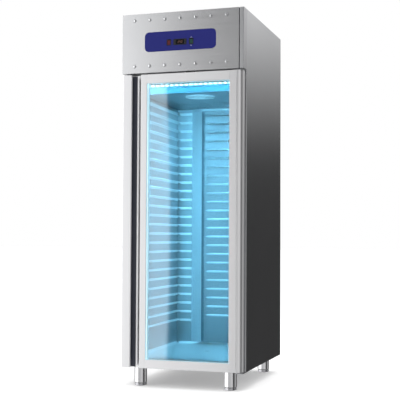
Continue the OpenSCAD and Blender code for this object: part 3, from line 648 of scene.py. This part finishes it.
# grip stile: one extrusion with grip, finger opening, scoop and glazing groove
grip_x = DX0 + 53
scoop = 30
pocket_r = 13.5
pocket_at = (DX0 + 8 + pocket_r, DY0 + 9 + pocket_r)
loop = arc(DX0 + 4, DY0 + 4, 4, 180, 270, 8)
loop += arc(grip_x - 4.5, DY0 + 4.5, 4.5, -90, 90, 14)
loop += arc(*pocket_at, pocket_r, 270, 90, 18)
loop += arc(grip_x + 52 - scoop, DY0 + 6, scoop, 90, 0, 18)
loop += arc(grip_x + 54, DY0 + 2.0, 2.0, 180, 270, 5)
loop += [(GX0 - 0.6, DY0), (GX0, DY0 + 0.6), (GX0, GLAZING[0]), (GX0 - REBATE, GLAZING[0]),
         (GX0 - REBATE, GLAZING[1]), (GX0, GLAZING[1]),
         (GX0, DY1 - 0.8), (GX0 - 0.8, DY1), (DX0 + 1.5, DY1), (DX0, DY1 - 1.5)]
keep(sheet_mesh("door_grip_stile", [loop], "Z", DZ0, DZ1, 0.4, 2),
     "door", "door", ["handle_stile"])
# painted shade: a dark sheet at the bottom of the finger opening, standing for the shadow in it
loop = arc(*pocket_at, pocket_r - 0.15, 268, 92, 18)
loop += [(grip_x + 19, DY0 + 35.85), (grip_x + 19, DY0 + 35.2)]
loop += arc(*pocket_at, pocket_r - 0.8, 92, 268, 18)
keep(sheet_mesh("grip_painted_shade", [loop], "Z", DZ0 + 2, DZ1 - 2, 0.1, 1), "groove", "door")
# hinge stile: its outer edge is one large roll, with a seam where the roll starts
roll = 36
seam = DX1 - roll
loop = [(GX1, GLAZING[0]), (GX1, DY0 + 0.6), (GX1 + 0.6, DY0), (seam - 0.4, DY0),
        (seam, DY0 + 0.5), (seam, DY0 + 2), (seam + 2, DY0 + 2)]
loop += [p for p in arc(seam, DY0 + roll, roll, -90, 0, 40) if p[0] > seam + 2]
loop += [(DX1, DY1 - 2), (DX1 - 2, DY1), (GX1 + 0.8, DY1), (GX1, DY1 - 0.8),
         (GX1, GLAZING[1]), (GX1 + REBATE, GLAZING[1]), (GX1 + REBATE, GLAZING[0])]
block_lo, block_hi = B["hinge_blocks"]
keep(sheet_mesh("door_hinge_stile", [loop, rect(block_lo.x, DY0 + 12, block_hi.x, DY0 + 46)],
                "Z", DZ0, DZ1, 0.3, 1), "door", "door", ["hinge_stile"])


def rail(name, outer, mouth, replaces):
    """Rail profile in the YZ plane with its glazing groove at the mouth, run along X."""
    d = 1 if mouth > outer else -1
    c = 0.6 * d
    pts = [(DY0 + 0.6, outer), (DY0, outer + c), (DY0, mouth - c), (DY0 + 0.6, mouth),
           (GLAZING[0], mouth), (GLAZING[0], mouth - REBATE * d), (GLAZING[1], mouth - REBATE * d),
           (GLAZING[1], mouth), (DY1 - 0.6, mouth), (DY1, mouth - c), (DY1, outer + c), (DY1 - 0.6, outer)]
    keep(sheet_mesh(name, [pts], "X", GX0 + 0.1, GX1 - 0.1, 0.2, 1), "rail", "door",
         replaces)


rail("door_rail_bottom", DZ0, GZ0, ["door_rails"])
rail("door_rail_top", DZ1, GZ1, [])
lo, hi = B["glass_panes"]
for name, y0, y1, stands_for in (("pane_outer", lo.y + 0.1, lo.y + 4, ["glass_panes"]),
                                 ("pane_inner", hi.y - 4, hi.y - 0.1, [])):
    pane = ((lo.x + 0.3, y0, lo.z + 0.3), (hi.x - 0.3, y1, hi.z - 0.3))
    keep(blocks(name, [pane], 0.4, 1), "glass", "door", stands_for)
# spacer bar between the panes, with a painted glow standing for the lamp light it catches
lo, hi = B["glazing_spacer"]
keep(sheet_mesh("spacer_bar", [rect(lo.x, lo.z, hi.x, hi.z), rect(GX0 - 1, GZ0 - 1, GX1 + 1, GZ1 + 1)],
                "Y", lo.y + 0.1, hi.y - 0.1, 0.3, 1), "edge", "door", ["glazing_spacer"])
# bead between glass and frame, front and back
for k, (y0, y1) in enumerate(((DY0 + 1.2, DY0 + 3.1), (DY0 + 34.9, DY0 + 36.5))):
    keep(sheet_mesh("glass_bead_%d" % k, [rect(GX0 - 0.4, GZ0 - 0.4, GX1 + 0.4, GZ1 + 0.4),
                                          rect(GX0 + 2.2, GZ0 + 2.2, GX1 - 2.2, GZ1 - 2.2)],
                    "Y", y0, y1, 0.5, 2), "door", "door")
# gasket: bulb with a narrow waist, mitred round the four corners
lo, hi = B["door_gasket"]
bulb = [(0, 0), (12, 0), (12, 1.2), (9.6, 2.0), (10.2, 3.2), (11.4, 4.6), (11.4, 6.4), (10.4, 7.5),
        (1.6, 7.5), (0.6, 6.4), (0.6, 4.6), (1.8, 3.2), (2.4, 2.0), (0, 1.2)]
corners = ((lo.x, lo.z, 1, 1), (hi.x, lo.z, -1, 1), (hi.x, hi.z, -1, -1), (lo.x, hi.z, 1, -1))
bm = bmesh.new()
add_loft(bm, [[(x + u * sx, lo.y + v, z + u * sz) for u, v in bulb] for x, z, sx, sz in corners], "joined")
keep(from_bmesh("gasket_bulb", bm, 40), "gasket", "door", ["door_gasket"])
swap("hinge_blocks", "white", "door", 0.8)
swap("hinge_brackets", "bracket", "cabinet")

# ------------------------------------------------------------------ chamber

for n in ("liner_left", "liner_right", "liner_rear", "liner_ceiling"):
    keep(blocks(n + "_sheet", [B[n]], 0.3, 1), "liner", "cabinet", [n])
lo, hi = B["liner_floor"]
keep(sheet_mesh("liner_floor_sheet", [rect(lo.x, lo.y, hi.x, hi.y), ring(drain.x, drain.y, 16, 40)],
                "Z", lo.z, hi.z, 0.3, 1), "pan", "cabinet", ["liner_floor"])
FLOOR = hi.z
WALL = B["liner_right"][0].x
REAR = B["liner_rear"][0].y
# coved corners between floor and walls
cove = 14
section = [(cove - u, cove - v) for u, v in arc(0, 0, cove, 0, 90, 6)] + [(0, 0)]
bm = bmesh.new()
for s in (-1, 1):
    add_loft(bm, [[(s * (WALL - u), y, FLOOR + v) for u, v in section] for y in (lo.y + 2, hi.y - 2)])
add_loft(bm, [[(x, REAR - u, FLOOR + v) for u, v in section] for x in (cove + 0.5 - WALL, WALL - cove - 0.5)])
keep(from_bmesh("floor_coves", bm, 30), "ledge", "cabinet")
flange = [(15.4, -8), (15.4, 0.1), (25, 0.1), (26, 0.8), (24.6, 1.5), (17, 1.5), (14, -0.6), (13.6, -7.4),
          (14, -8), (15.4, -8)]
keep(lathe("drain_ring", flange, (drain.x, drain.y, FLOOR)), "white", "cabinet",
     ["floor_drain"])
tail = [(8, 88), (9.6, 88), (10, 88.4), (10, FLOOR - 8), (13.8, FLOOR - 7.9), (13.8, FLOOR - 6.6),
        (8, FLOOR - 6.8), (8, 88)]
keep(lathe("drain_tail", tail, (drain.x, drain.y, 0)), "white", "cabinet")
grate = [ring(x, y, 2.2, 16) for x, y in ring(drain.x, drain.y, 9, 8) + [(drain.x, drain.y)]]
keep(sheet_mesh("drain_grate", [ring(drain.x, drain.y, 14.2, 40)] + grate,
                "Z", FLOOR - 2.4, FLOOR - 1.0, 0.2, 1), "ledge", "cabinet")

# tray ledges: folded L with a rolled front edge and a hem at the wall, and a return on the rear wall
LEVELS, PITCH = 25, 54
DUCT_HALF, DUCT_FACE = B["air_duct"][1].x, B["air_duct"][1].x - 76
FIRST = B["tray_ledges_left"][1].z - (LEVELS - 1) * PITCH
ledge_w, lip, hem, bend = 18, 7, 14, 2.6
section = [(0, 0)] + arc(ledge_w - bend, -bend, bend, 90, 0, 5)
section += [(ledge_w, -lip), (ledge_w - T, -lip)] + arc(ledge_w - bend, -bend, bend - T, 0, 90, 5)
section += [(T, -T), (T, -hem), (0, -hem)]
for side, n in ((-1, "left"), (1, "right")):
    lo, hi = B["tray_ledges_" + n]
    wall = hi.x if side > 0 else lo.x
    ends = (wall - side * (ledge_w + 0.5), side * (DUCT_HALF + 2))
    bm = bmesh.new()
    for i in range(LEVELS):
        z = FIRST + i * PITCH
        add_loft(bm, [[(wall - side * u, y, z + v) for u, v in section] for y in (lo.y, hi.y)])
        add_loft(bm, [[(x, hi.y - u, z + v) for u, v in section] for x in ends])
    keep(from_bmesh("ledges_" + n[0], bm, 30), "ledge", "cabinet", ["tray_ledges_" + n])

# folded air duct with a slot between levels
lo, hi = B["air_duct"]
DUCT_Y, DUCT_TOP = lo.y, hi.z
SLOTS = [FIRST + (i + 0.5) * PITCH for i in range(LEVELS - 1)]
keep(sheet_mesh("duct_face", [rect(-DUCT_FACE, lo.z, DUCT_FACE, hi.z)]
                + [slot_at(0, z, 95, 3.5, 3.4, 5) for z in SLOTS], "Y", DUCT_Y, DUCT_Y + T, 0.3, 1),
     "duct", "cabinet", ["air_duct"])
bm = bmesh.new()
wing = [(DUCT_FACE, 0), (DUCT_HALF, 40), (DUCT_HALF - 2, 40), (DUCT_FACE - 1, 1.2)]
for s in (-1, 1):
    add_loft(bm, [[(s * x, DUCT_Y + y, z) for x, y in wing] for z in (lo.z, hi.z)])
keep(from_bmesh("duct_wings", bm), "wing", "cabinet")
# painted shadow: dark strips beside the two folds, standing for the shade along them
strips = [((x - 8, DUCT_Y - 0.9, lo.z + 4), (x + 8, DUCT_Y + 0.2, hi.z - 22))
          for x in (9 - DUCT_FACE, DUCT_FACE - 9)]
keep(blocks("duct_fold_shadow_lines", strips, 0.3), "strip", "cabinet")
# a pressed hood over every slot, running out at both ends
hood = [(0.0, 7.0), (2.4, 6.2), (4.6, 4.2), (5.8, 1.4), (6.0, -0.6), (5.2, -0.6), (4.0, 2.6), (0.0, 4.6)]
bm = bmesh.new()
for z in SLOTS:
    sections = []
    for k in range(25):
        u = k / 24
        swell = math.sin(0.5 * math.pi * min(1.0, 8 * min(u, 1 - u) + 0.03))
        sections.append([(-104 + 208 * u, DUCT_Y - swell * out, z + 3.5 + swell * up) for out, up in hood])
    add_loft(bm, sections)
keep(from_bmesh("duct_hoods", bm, 40), "wing", "cabinet")

# false ceiling with the fan's mouth and the return slots
lo, hi = B["fan_housing"]
PLENUM = lo.z
FAN_X, FAN_Y = middle("fan_rotor").x, -120
mouths = [ring(FAN_X, FAN_Y, 80, 64)]
mouths += [slot_at(s * 130, 135 + i * 26, 90, 5, 4.8, 5) for i in range(6) for s in (-1, 1)]
keep(sheet_mesh("plenum_plate", [rect(lo.x, lo.y, hi.x, hi.y)] + mouths, "Z", PLENUM, PLENUM + T, 0.3, 1),
     "liner", "cabinet", ["fan_housing"])
keep(blocks("plenum_front", [
    ((lo.x, lo.y, PLENUM + T), (hi.x, lo.y + T, hi.z)),
    ((lo.x, lo.y + T, PLENUM + T), (lo.x + T, hi.y, hi.z)),
    ((hi.x - T, lo.y + T, PLENUM + T), (hi.x, hi.y, hi.z)),
], 0.3), "duct", "cabinet")
# guard: rings of wire on four crossing bars
bm = bmesh.new()
for r in range(20, 81, 12):
    add_tube(bm, [(x, y, PLENUM - 1.5) for x, y in arc(FAN_X, FAN_Y, r, 0, 360, 48)], 1.2, 8, "open")
for a in (0, 45, 90, 135):
    c, s = 88 * math.cos(math.radians(a)), 88 * math.sin(math.radians(a))
    add_tube(bm, [(FAN_X + d * c, FAN_Y + d * s, PLENUM - 1.5) for d in (-1, 1)], 1.4, 8)
bmesh.ops.remove_doubles(bm, verts=bm.verts, dist=0.001)
keep(from_bmesh("fan_guard_wire", bm, 60), "white_wire", "cabinet", ["fan_guard"])


def blade_side(bm, place, base, root, tip, half_h, side):
    """One face of a twisted, swept blade, as a grid of vertices from root to tip."""
    rows = []
    for i in range(7):
        u = i / 6
        r = root + (tip - root) * u
        chord, pitch, sweep = 28 + 12 * u, math.radians(38 - 14 * u), 0.30 * u * u
        row = []
        for k in range(7):
            w = k / 6 - 0.5
            turn = base + sweep + w * chord * math.cos(pitch) / r
            camber = 0.9 * (1 - 4 * w * w)
            z = w * chord * math.sin(pitch) + camber + side * 0.8 * (1 - 3.6 * w * w)
            z = max(0.5 - half_h, min(half_h - 0.5, z))
            row.append(bm.verts.new(place @ Vector((r * math.cos(turn), r * math.sin(turn), z))))
        rows.append(row)
    add_grid(bm, rows)
    return rows


def rim(rows):
    """The vertices round a grid, in order."""
    return ([row[0] for row in rows] + rows[-1][1:] + [row[-1] for row in rows[-2::-1]]
            + rows[0][-2:0:-1])


def fan(name, node, axis, at, hub_r, tip_r, body, blades=5):
    """Moulded fan: a hub with a rounded nose and a bore for the shaft, and its blades."""
    bore, half_h = 4.06, 11
    bm = bmesh.new()
    add_lathe(bm, [(bore, -half_h), (hub_r - 2, -half_h), (hub_r, 2 - half_h), (hub_r, half_h - 3),
                   (hub_r - 1, half_h - 1), (hub_r - 3, half_h), (bore, half_h), (bore, -half_h)],
              at, axis, 40)
    place = Matrix.Translation(at) @ rot_to(axis)
    for b in range(blades):
        base = 2 * math.pi * b / blades
        front, back = [rim(blade_side(bm, place, base, hub_r - 1, tip_r, half_h, s)) for s in (1, -1)]
        for i in range(len(front)):
            j = (i + 1) % len(front)
            bm.faces.new((front[i], front[j], back[j], back[i]))
    keep(from_bmesh(name, bm, 40), "fan", body, [node])


TRAY = B["machine_tray"][1].z
CONDENSER_X, CONDENSER_Z = 170, TRAY + 137
fan("circulation_fan_moulding", "fan_rotor", "Z", (FAN_X, FAN_Y, middle("fan_rotor").z), 24, 75,
    "circulation_fan")
fan("condenser_fan_moulding", "condenser_rotor", "Y",
    (CONDENSER_X, middle("condenser_rotor").y, CONDENSER_Z), 26, 92, "condenser_fan")
swap("fan_motor", "motor", "cabinet", 2, 3)

# lamps
swap("led_channels", "channel", "cabinet")
bm = bmesh.new()
roll_z, roll_y = DUCT_TOP - 11, DUCT_Y + 0.1
add_half_round(bm, (-DUCT_FACE, roll_y, roll_z), (DUCT_FACE, roll_y, roll_z), (0, 0, 1), (0, -1, 0), 8)
for s in (-1, 1):
    add_half_round(bm, (s * DUCT_FACE, roll_y, roll_z), (s * (DUCT_HALF - 8), roll_y + 35.8, roll_z),
                   (0, 0, 1), (-s * 0.466, -0.885, 0), 8)
keep(from_bmesh("duct_top_roll", bm, 50), "wing", "cabinet")
LAMP_Y = middle("led_diffusers").y
LAMP_X, lamp_top = B["led_channels"][1].x, B["led_channels"][1].z
LAMP_Z = lamp_top - 8
bm = bmesh.new()
add_half_round(bm, (14 - LAMP_X, LAMP_Y, LAMP_Z), (LAMP_X - 14, LAMP_Y, LAMP_Z), (0, 1, 0), (0, 0, -1), 8)
keep(from_bmesh("led_top_diffuser", bm, 50), "led_x", "cabinet", ["led_diffusers"])
bm = bmesh.new()
for s in (-1, 1):
    x = s * (LAMP_X - 8)
    add_half_round(bm, (x, LAMP_Y, FLOOR + 30), (x, LAMP_Y, lamp_top - 20), (0, 1, 0), (-s, 0, 0), 7)
keep(from_bmesh("led_side_diffusers", bm, 50), "led_z", "cabinet")

swap("breaker_frame", "breaker", "cabinet")
bm = bmesh.new()
add_lathe(bm, [(0, 0), (14, 0), (14, 2.6), (12.8, 4), (6.4, 4), (6, 4.6), (6, 12), (4.6, 14), (0, 14)],
          (0, 0, 0), "Z", 32)
probe = middle("climate_probe")
probe.x = B["climate_probe"][1].x
bm.transform(Matrix.Translation(probe) @ Matrix.Rotation(math.radians(-90), 4, "Y"))
keep(from_bmesh("probe_cap", bm), "white", "cabinet", ["climate_probe"])

# CAD solids that are shown as they are, with finishes
for n, m in (("foam_insulation", "foam"), ("evaporator_coil", "coil"),
             ("heater_element", "boiler"), ("condenser_coil", "coil")):
    NODES[n].data.materials.clear()
    NODES[n].data.materials.append(MAT[m])

# ------------------------------------------------------------------ machine compartment

c = middle("compressor")
dome = [(0, 189)] + [(78 * math.sin(math.radians(a)), 143 + 46 * math.cos(math.radians(a)))
                     for a in range(8, 90, 8)] + [(78, 132)]
shell = [(0, 19), (70, 19), (76, 24), (77.4, 34), (77.4, 86), (78, 88), (78, 96), (77.4, 98), (77.4, 130)]
keep(lathe("compressor_shell", shell + dome[::-1], (c.x, c.y, TRAY), "Z", 56, 30),
     "motor", "cabinet", ["compressor"])
keep(blocks("compressor_plate", [((c.x - 100, c.y - 80, TRAY + 16), (c.x + 100, c.y + 80, TRAY + 19)),
                                 ((c.x + 58, c.y - 24, TRAY + 40), (c.x + 98, c.y + 24, TRAY + 84))], 2, 3),
     "motor", "cabinet")
bm = bmesh.new()
buffer = [(0, 0), (11, 0), (12, 1), (12, 6), (9.6, 8), (12, 10), (12, 15), (11, 16), (0, 16)]
for x in (c.x - 80, c.x + 80):
    for y in (c.y - 60, c.y + 60):
        add_lathe(bm, buffer, (x, y, TRAY), "Z", 28)
keep(from_bmesh("compressor_mounts", bm), "gasket", "cabinet")

# pipe routes as (x, y, height over the tray), discharge and then suction, with their radii
ROUTES = (([(-190, 270.5, 60), (-190, 330, 60), (100, 330, 60), (100, 330, 6.2), (60, 330, 6.2)], 5.88),
          ([(-110, 190, 90), (-40, 190, 90), (-40, -20, 90), (-40, -20, 60), (0, -300, 60),
            (19, -300, 60)], 4.9))
for k, (route, r) in enumerate(ROUTES):
    bm = bmesh.new()
    add_tube(bm, rounded_path([(x, y, TRAY + z) for x, y, z in route], 22, 8), r, 18)
    keep(from_bmesh("pipe_%d" % k, bm, 50), "copper", "cabinet",
         ["refrigerant_pipes"] if k == 0 else [])
drier = [(5, -55), (14, -50), (19.6, -44), (19.6, 44), (14, 50), (5, 55)]
keep(lathe("filter_drier", drier, (-40, 95, TRAY + 90), "Y", 32, 40), "copper", "cabinet")

bm = bmesh.new()
add_lathe(bm, [(0, -35), (30, -35), (36, -29), (36, 29), (30, 35), (0, 35)],
          (CONDENSER_X, -145, CONDENSER_Z), "Y", 44)
add_lathe(bm, [(0, 0), (4, 0), (4, 41), (3.4, 41.8), (0, 41.8)], (CONDENSER_X, -180, CONDENSER_Z), "Y", 20)
keep(from_bmesh("condenser_motor_can", bm), "motor", "cabinet", ["condenser_motor"])
keep(blocks("condenser_motor_bracket", [((150, -170, TRAY), (190, -167, TRAY + 104)),
                                        ((150, -170, TRAY), (190, -120, TRAY + 3)),
                                        ((152, -168, TRAY + 96), (188, -122, TRAY + 103))], 0.8),
     "bracket", "cabinet")
keep(sheet_mesh("condenser_shroud", [slot_at(CONDENSER_X, CONDENSER_Z, 146, 111, 6, 5),
                                     ring(CONDENSER_X, CONDENSER_Z, 99, 72)], "Y", -268, -266, 0.5, 1),
     "galvanised", "cabinet")

lo, hi = B["steam_boiler"]
keep(blocks("boiler_case", [((lo.x, lo.y, TRAY + 12), (hi.x, hi.y, TRAY + 170))], 6, 4),
     "boiler", "cabinet", ["steam_boiler"])
c = middle("steam_boiler")
bm = bmesh.new()
add_lathe(bm, [(30, 0), (30, 4), (24, 6), (24, 12.4), (22.4, 14), (0, 14)], (c.x, c.y, TRAY + 170), "Z", 40)
for x in (-320, -200):
    for y in (-230, -110):
        add_lathe(bm, [(0, 0), (8, 0), (8, 12), (0, 12)], (x, y, TRAY), "Z", 24)
keep(from_bmesh("boiler_fittings", bm), "bracket", "cabinet")

lo, hi = B["electrical_box"]
keep(blocks("electrical_case", [((lo.x + 4, lo.y + 4, TRAY), (hi.x - 4, hi.y - 4, TRAY + 150))], 1.5, 3),
     "box", "cabinet", ["electrical_box"])
keep(blocks("electrical_lid", [((lo.x, lo.y, TRAY + 150), (hi.x, hi.y, TRAY + 156))], 2, 3),
     "box", "cabinet")
bm = bmesh.new()
for x in (lo.x + 14, hi.x - 14):
    for y in (lo.y + 14, hi.y - 14):
        add_lathe(bm, [(4, -0.5), (4, 0.6), (3, 1.6), (0, 1.8)], (x, y, TRAY + 156), "Z", 20)
keep(from_bmesh("electrical_screws", bm), "bracket", "cabinet")

# ------------------------------------------------------------------ feet

FEET = [(end, side) for end in ("front", "rear") for side in ("left", "right")]
sleeve_top = B["foot_sleeves"][1].z
sleeve = [(12.06, 15), (32.6, 15), (34.4, 16.6), (35, 18.6), (35, sleeve_top - 3), (35, sleeve_top),
          (0, sleeve_top)]
bm = bmesh.new()
for end, side in FEET:
    c = middle("foot_%s_%s" % (end, side))
    add_lathe(bm, sleeve, (c.x, c.y, 0), "Z", 64)
keep(from_bmesh("foot_tubes", bm), "foot", "cabinet", ["foot_sleeves"])
thread = [(r, z) for up in range(14, 78, 2) for r, z in ((12, up), (11.2, up + 1))]
screw = [(0, 0), (29.4, 0), (32, 1.4), (33, 3.4), (33, 12), (32, 13.6), (30, 14), (12, 14)]
screw += thread + [(12, 79), (11, 80), (0, 80)]
for end, side in FEET:
    n = "foot_%s_%s" % (end, side)
    c = middle(n)
    keep(lathe(n + "_screw", screw, (c.x, c.y, 0), "Z", 48), "foot_end", "%s_%s_foot" % (end, side),
         [n])

# ------------------------------------------------------------------ stage, lights and camera

def stage_plane(name, corners, mat):
    me = bpy.data.meshes.new(name)
    me.from_pydata([Vector(c) * MM for c in corners], [], [(0, 1, 2, 3)])
    o = bpy.data.objects.new(name, me)
    o.data.materials.append(mat)
    bpy.context.scene.collection.objects.link(o)
    return o


paint, paint_nodes, paint_shader = new_material("floor_paint")
cloud = noise(paint_nodes, 1.5)
colour_span(paint_nodes, paint_shader, cloud, (0.90, 0.90, 0.90), (0.92, 0.92, 0.92))
rough_span(paint_nodes, paint_shader, cloud, 0.75, 0.85)
paint_shader.inputs["Specular IOR Level"].default_value = 0.1
paint_shader.inputs["Emission Color"].default_value = (1, 1, 1, 1)
paint_shader.inputs["Emission Strength"].default_value = 0.22
reach = 60000
ground = stage_plane("floor", [(x, y, 0) for x, y in rect(-reach, -reach, reach, reach)], paint)
ground.visible_glossy = False


def area(name, loc, target, size, power, colour=(1, 1, 1), spread=180):
    """A rectangular lamp at loc that shines towards target."""
    li = bpy.data.lights.new(name, "AREA")
    li.shape = "RECTANGLE"
    li.size, li.size_y = size[0] * MM, size[1] * MM
    li.energy = power
    li.color = colour
    li.spread = math.radians(spread)
    o = bpy.data.objects.new(name, li)
    o.location = Vector(loc) * MM
    o.rotation_mode = "QUATERNION"
    o.rotation_quaternion = (Vector(target) - Vector(loc)).to_track_quat("-Z", "Y")
    bpy.context.scene.collection.objects.link(o)
    return o


key = area("key", (-3400, -4400, 3400), (0, 0, 1000), (2600, 3400), 60)
top = area("top", (300, 200, 5200), (0, 0, 0), (4200, 4200), 130)
key.visible_glossy = top.visible_glossy = False

# light of the lamp strips inside the chamber
area("chamber_top", (0, LAMP_Y + 6, PLENUM - 6), (0, 250, 700), (560, 12), 7.0, (0.25, 0.70, 1.0), 130)
area("chamber_lip", (0, LAMP_Y + 8, LAMP_Z - 10), (0, 0, LAMP_Z - 40), (560, 8), 0.5, (0.05, 0.55, 1.0), 150)
for k, (s, power) in enumerate(((-1, 5.5), (1, 9.5))):
    area("chamber_side_%d" % k, (s * (LAMP_X - 17), LAMP_Y + 2, 920), (s * 50, 250, 920), (12, 1400), power,
         (0.26, 0.71, 1.0), 140)

# The room: an even white surround, except that gloss sees a studio with darker and lighter sides.
world = bpy.data.worlds.new("studio")
bpy.context.scene.world = world
world.use_nodes = True
wnt = world.node_tree
wnt.nodes.clear()


def wmath(op, *terms):
    return add_node(wnt, "ShaderNodeMath", enumerate(terms), operation=op).outputs[0]


def wspan(v, a, b, lo=0.0, hi=1.0):
    """lo where v is a, hi where it is b, smooth between and level outside."""
    inputs = {"Value": v, "From Min": a, "From Max": b, "To Min": lo, "To Max": hi}
    return add_node(wnt, "ShaderNodeMapRange", inputs, interpolation_type="SMOOTHSTEP").outputs[0]


def wblend(fac, a, b):
    """a where fac is 0, b where it is 1."""
    d = wmath("SUBTRACT", b, a)
    return wmath("MULTIPLY_ADD", d, fac, a)


wco = add_node(wnt, "ShaderNodeTexCoord")
wsep = add_node(wnt, "ShaderNodeSeparateXYZ", {"Vector": wco.outputs["Generated"]})
dx, dy, dz = wsep.outputs[0], wsep.outputs[1], wsep.outputs[2]
# behind the object: dark floor and walls with a light band high up, and greyer ends
back_level = wspan(dz, 0.07, 0.34, 0.035, 1.25)
back_level = wblend(wspan(dx, -0.35, -0.08, 1.0, 0.0), back_level, 0.60)
back_level = wblend(wspan(dx, 0.45, 0.80), back_level, 0.55)
# in front of it: a bright screen on the left with a sharp edge, a gap, a dimmer screen on the right
left_screen = wmath("MULTIPLY", wspan(dx, -0.341, -0.336, 1.0, 0.0), wspan(dx, -0.46, -0.34, 1.9, 1.08))
right_screen = wmath("MULTIPLY", wspan(dx, -0.272, -0.20, 0.0, 0.72), wspan(dz, 0.0, 0.24, 1.0, 0.35))
front_level = wmath("ADD", left_screen, right_screen)
# a tall light on the right-hand side, and the floor's shade below
tall = wmath("MULTIPLY", wspan(dx, 0.20, 0.34), wspan(dx, 0.84, 0.91, 0.80, 0.05))
front_level = wblend(wspan(dx, 0.20, 0.34), front_level, tall)
front_level = wmath("MULTIPLY", front_level, wspan(dz, -0.60, -0.28, 0.40, 1.0))
level = wblend(wspan(dy, -0.15, 0.45), front_level, back_level)
# a white ceiling over both
level = wblend(wspan(dz, 0.35, 0.9), level, 0.95)
path = add_node(wnt, "ShaderNodeLightPath")
mixed = wblend(path.outputs["Is Glossy Ray"], 1.0, level)
bg = add_node(wnt, "ShaderNodeBackground", {"Color": (1.0, 1.0, 1.0, 1), "Strength": mixed})
add_node(wnt, "ShaderNodeOutputWorld", {"Surface": bg.outputs[0]})

# camera: turned left by yaw, up by pitch and then about its own axis by tilt
FOCAL_WIDTHS = 2.316925  # focal length over the width of the view
cam = bpy.data.cameras.new("camera")
cam.sensor_width = 36
cam.lens = FOCAL_WIDTHS * cam.sensor_width
cam.clip_end = 100
eye = bpy.data.objects.new("camera", cam)
eye.location = Vector((1641, -5169, 814.5)) * MM
yaw, pitch, tilt = math.radians(17.94), math.radians(2.33), math.radians(0.27)
right = Vector((math.cos(yaw), math.sin(yaw), 0))
ahead = Vector((-math.sin(yaw), math.cos(yaw), 0))
up = Vector((0, 0, 1))
look = ahead * math.cos(pitch) + up * math.sin(pitch)
over = up * math.cos(pitch) - ahead * math.sin(pitch)
across = right * math.cos(tilt) + over * math.sin(tilt)
upright = over * math.cos(tilt) - right * math.sin(tilt)
eye.rotation_mode = "QUATERNION"
eye.rotation_quaternion = Matrix((across, upright, -look)).transposed().to_quaternion()
bpy.context.scene.collection.objects.link(eye)
bpy.context.scene.camera = eye
bpy.context.scene.view_settings.view_transform = "Standard"
bpy.context.scene.view_settings.look = "None"
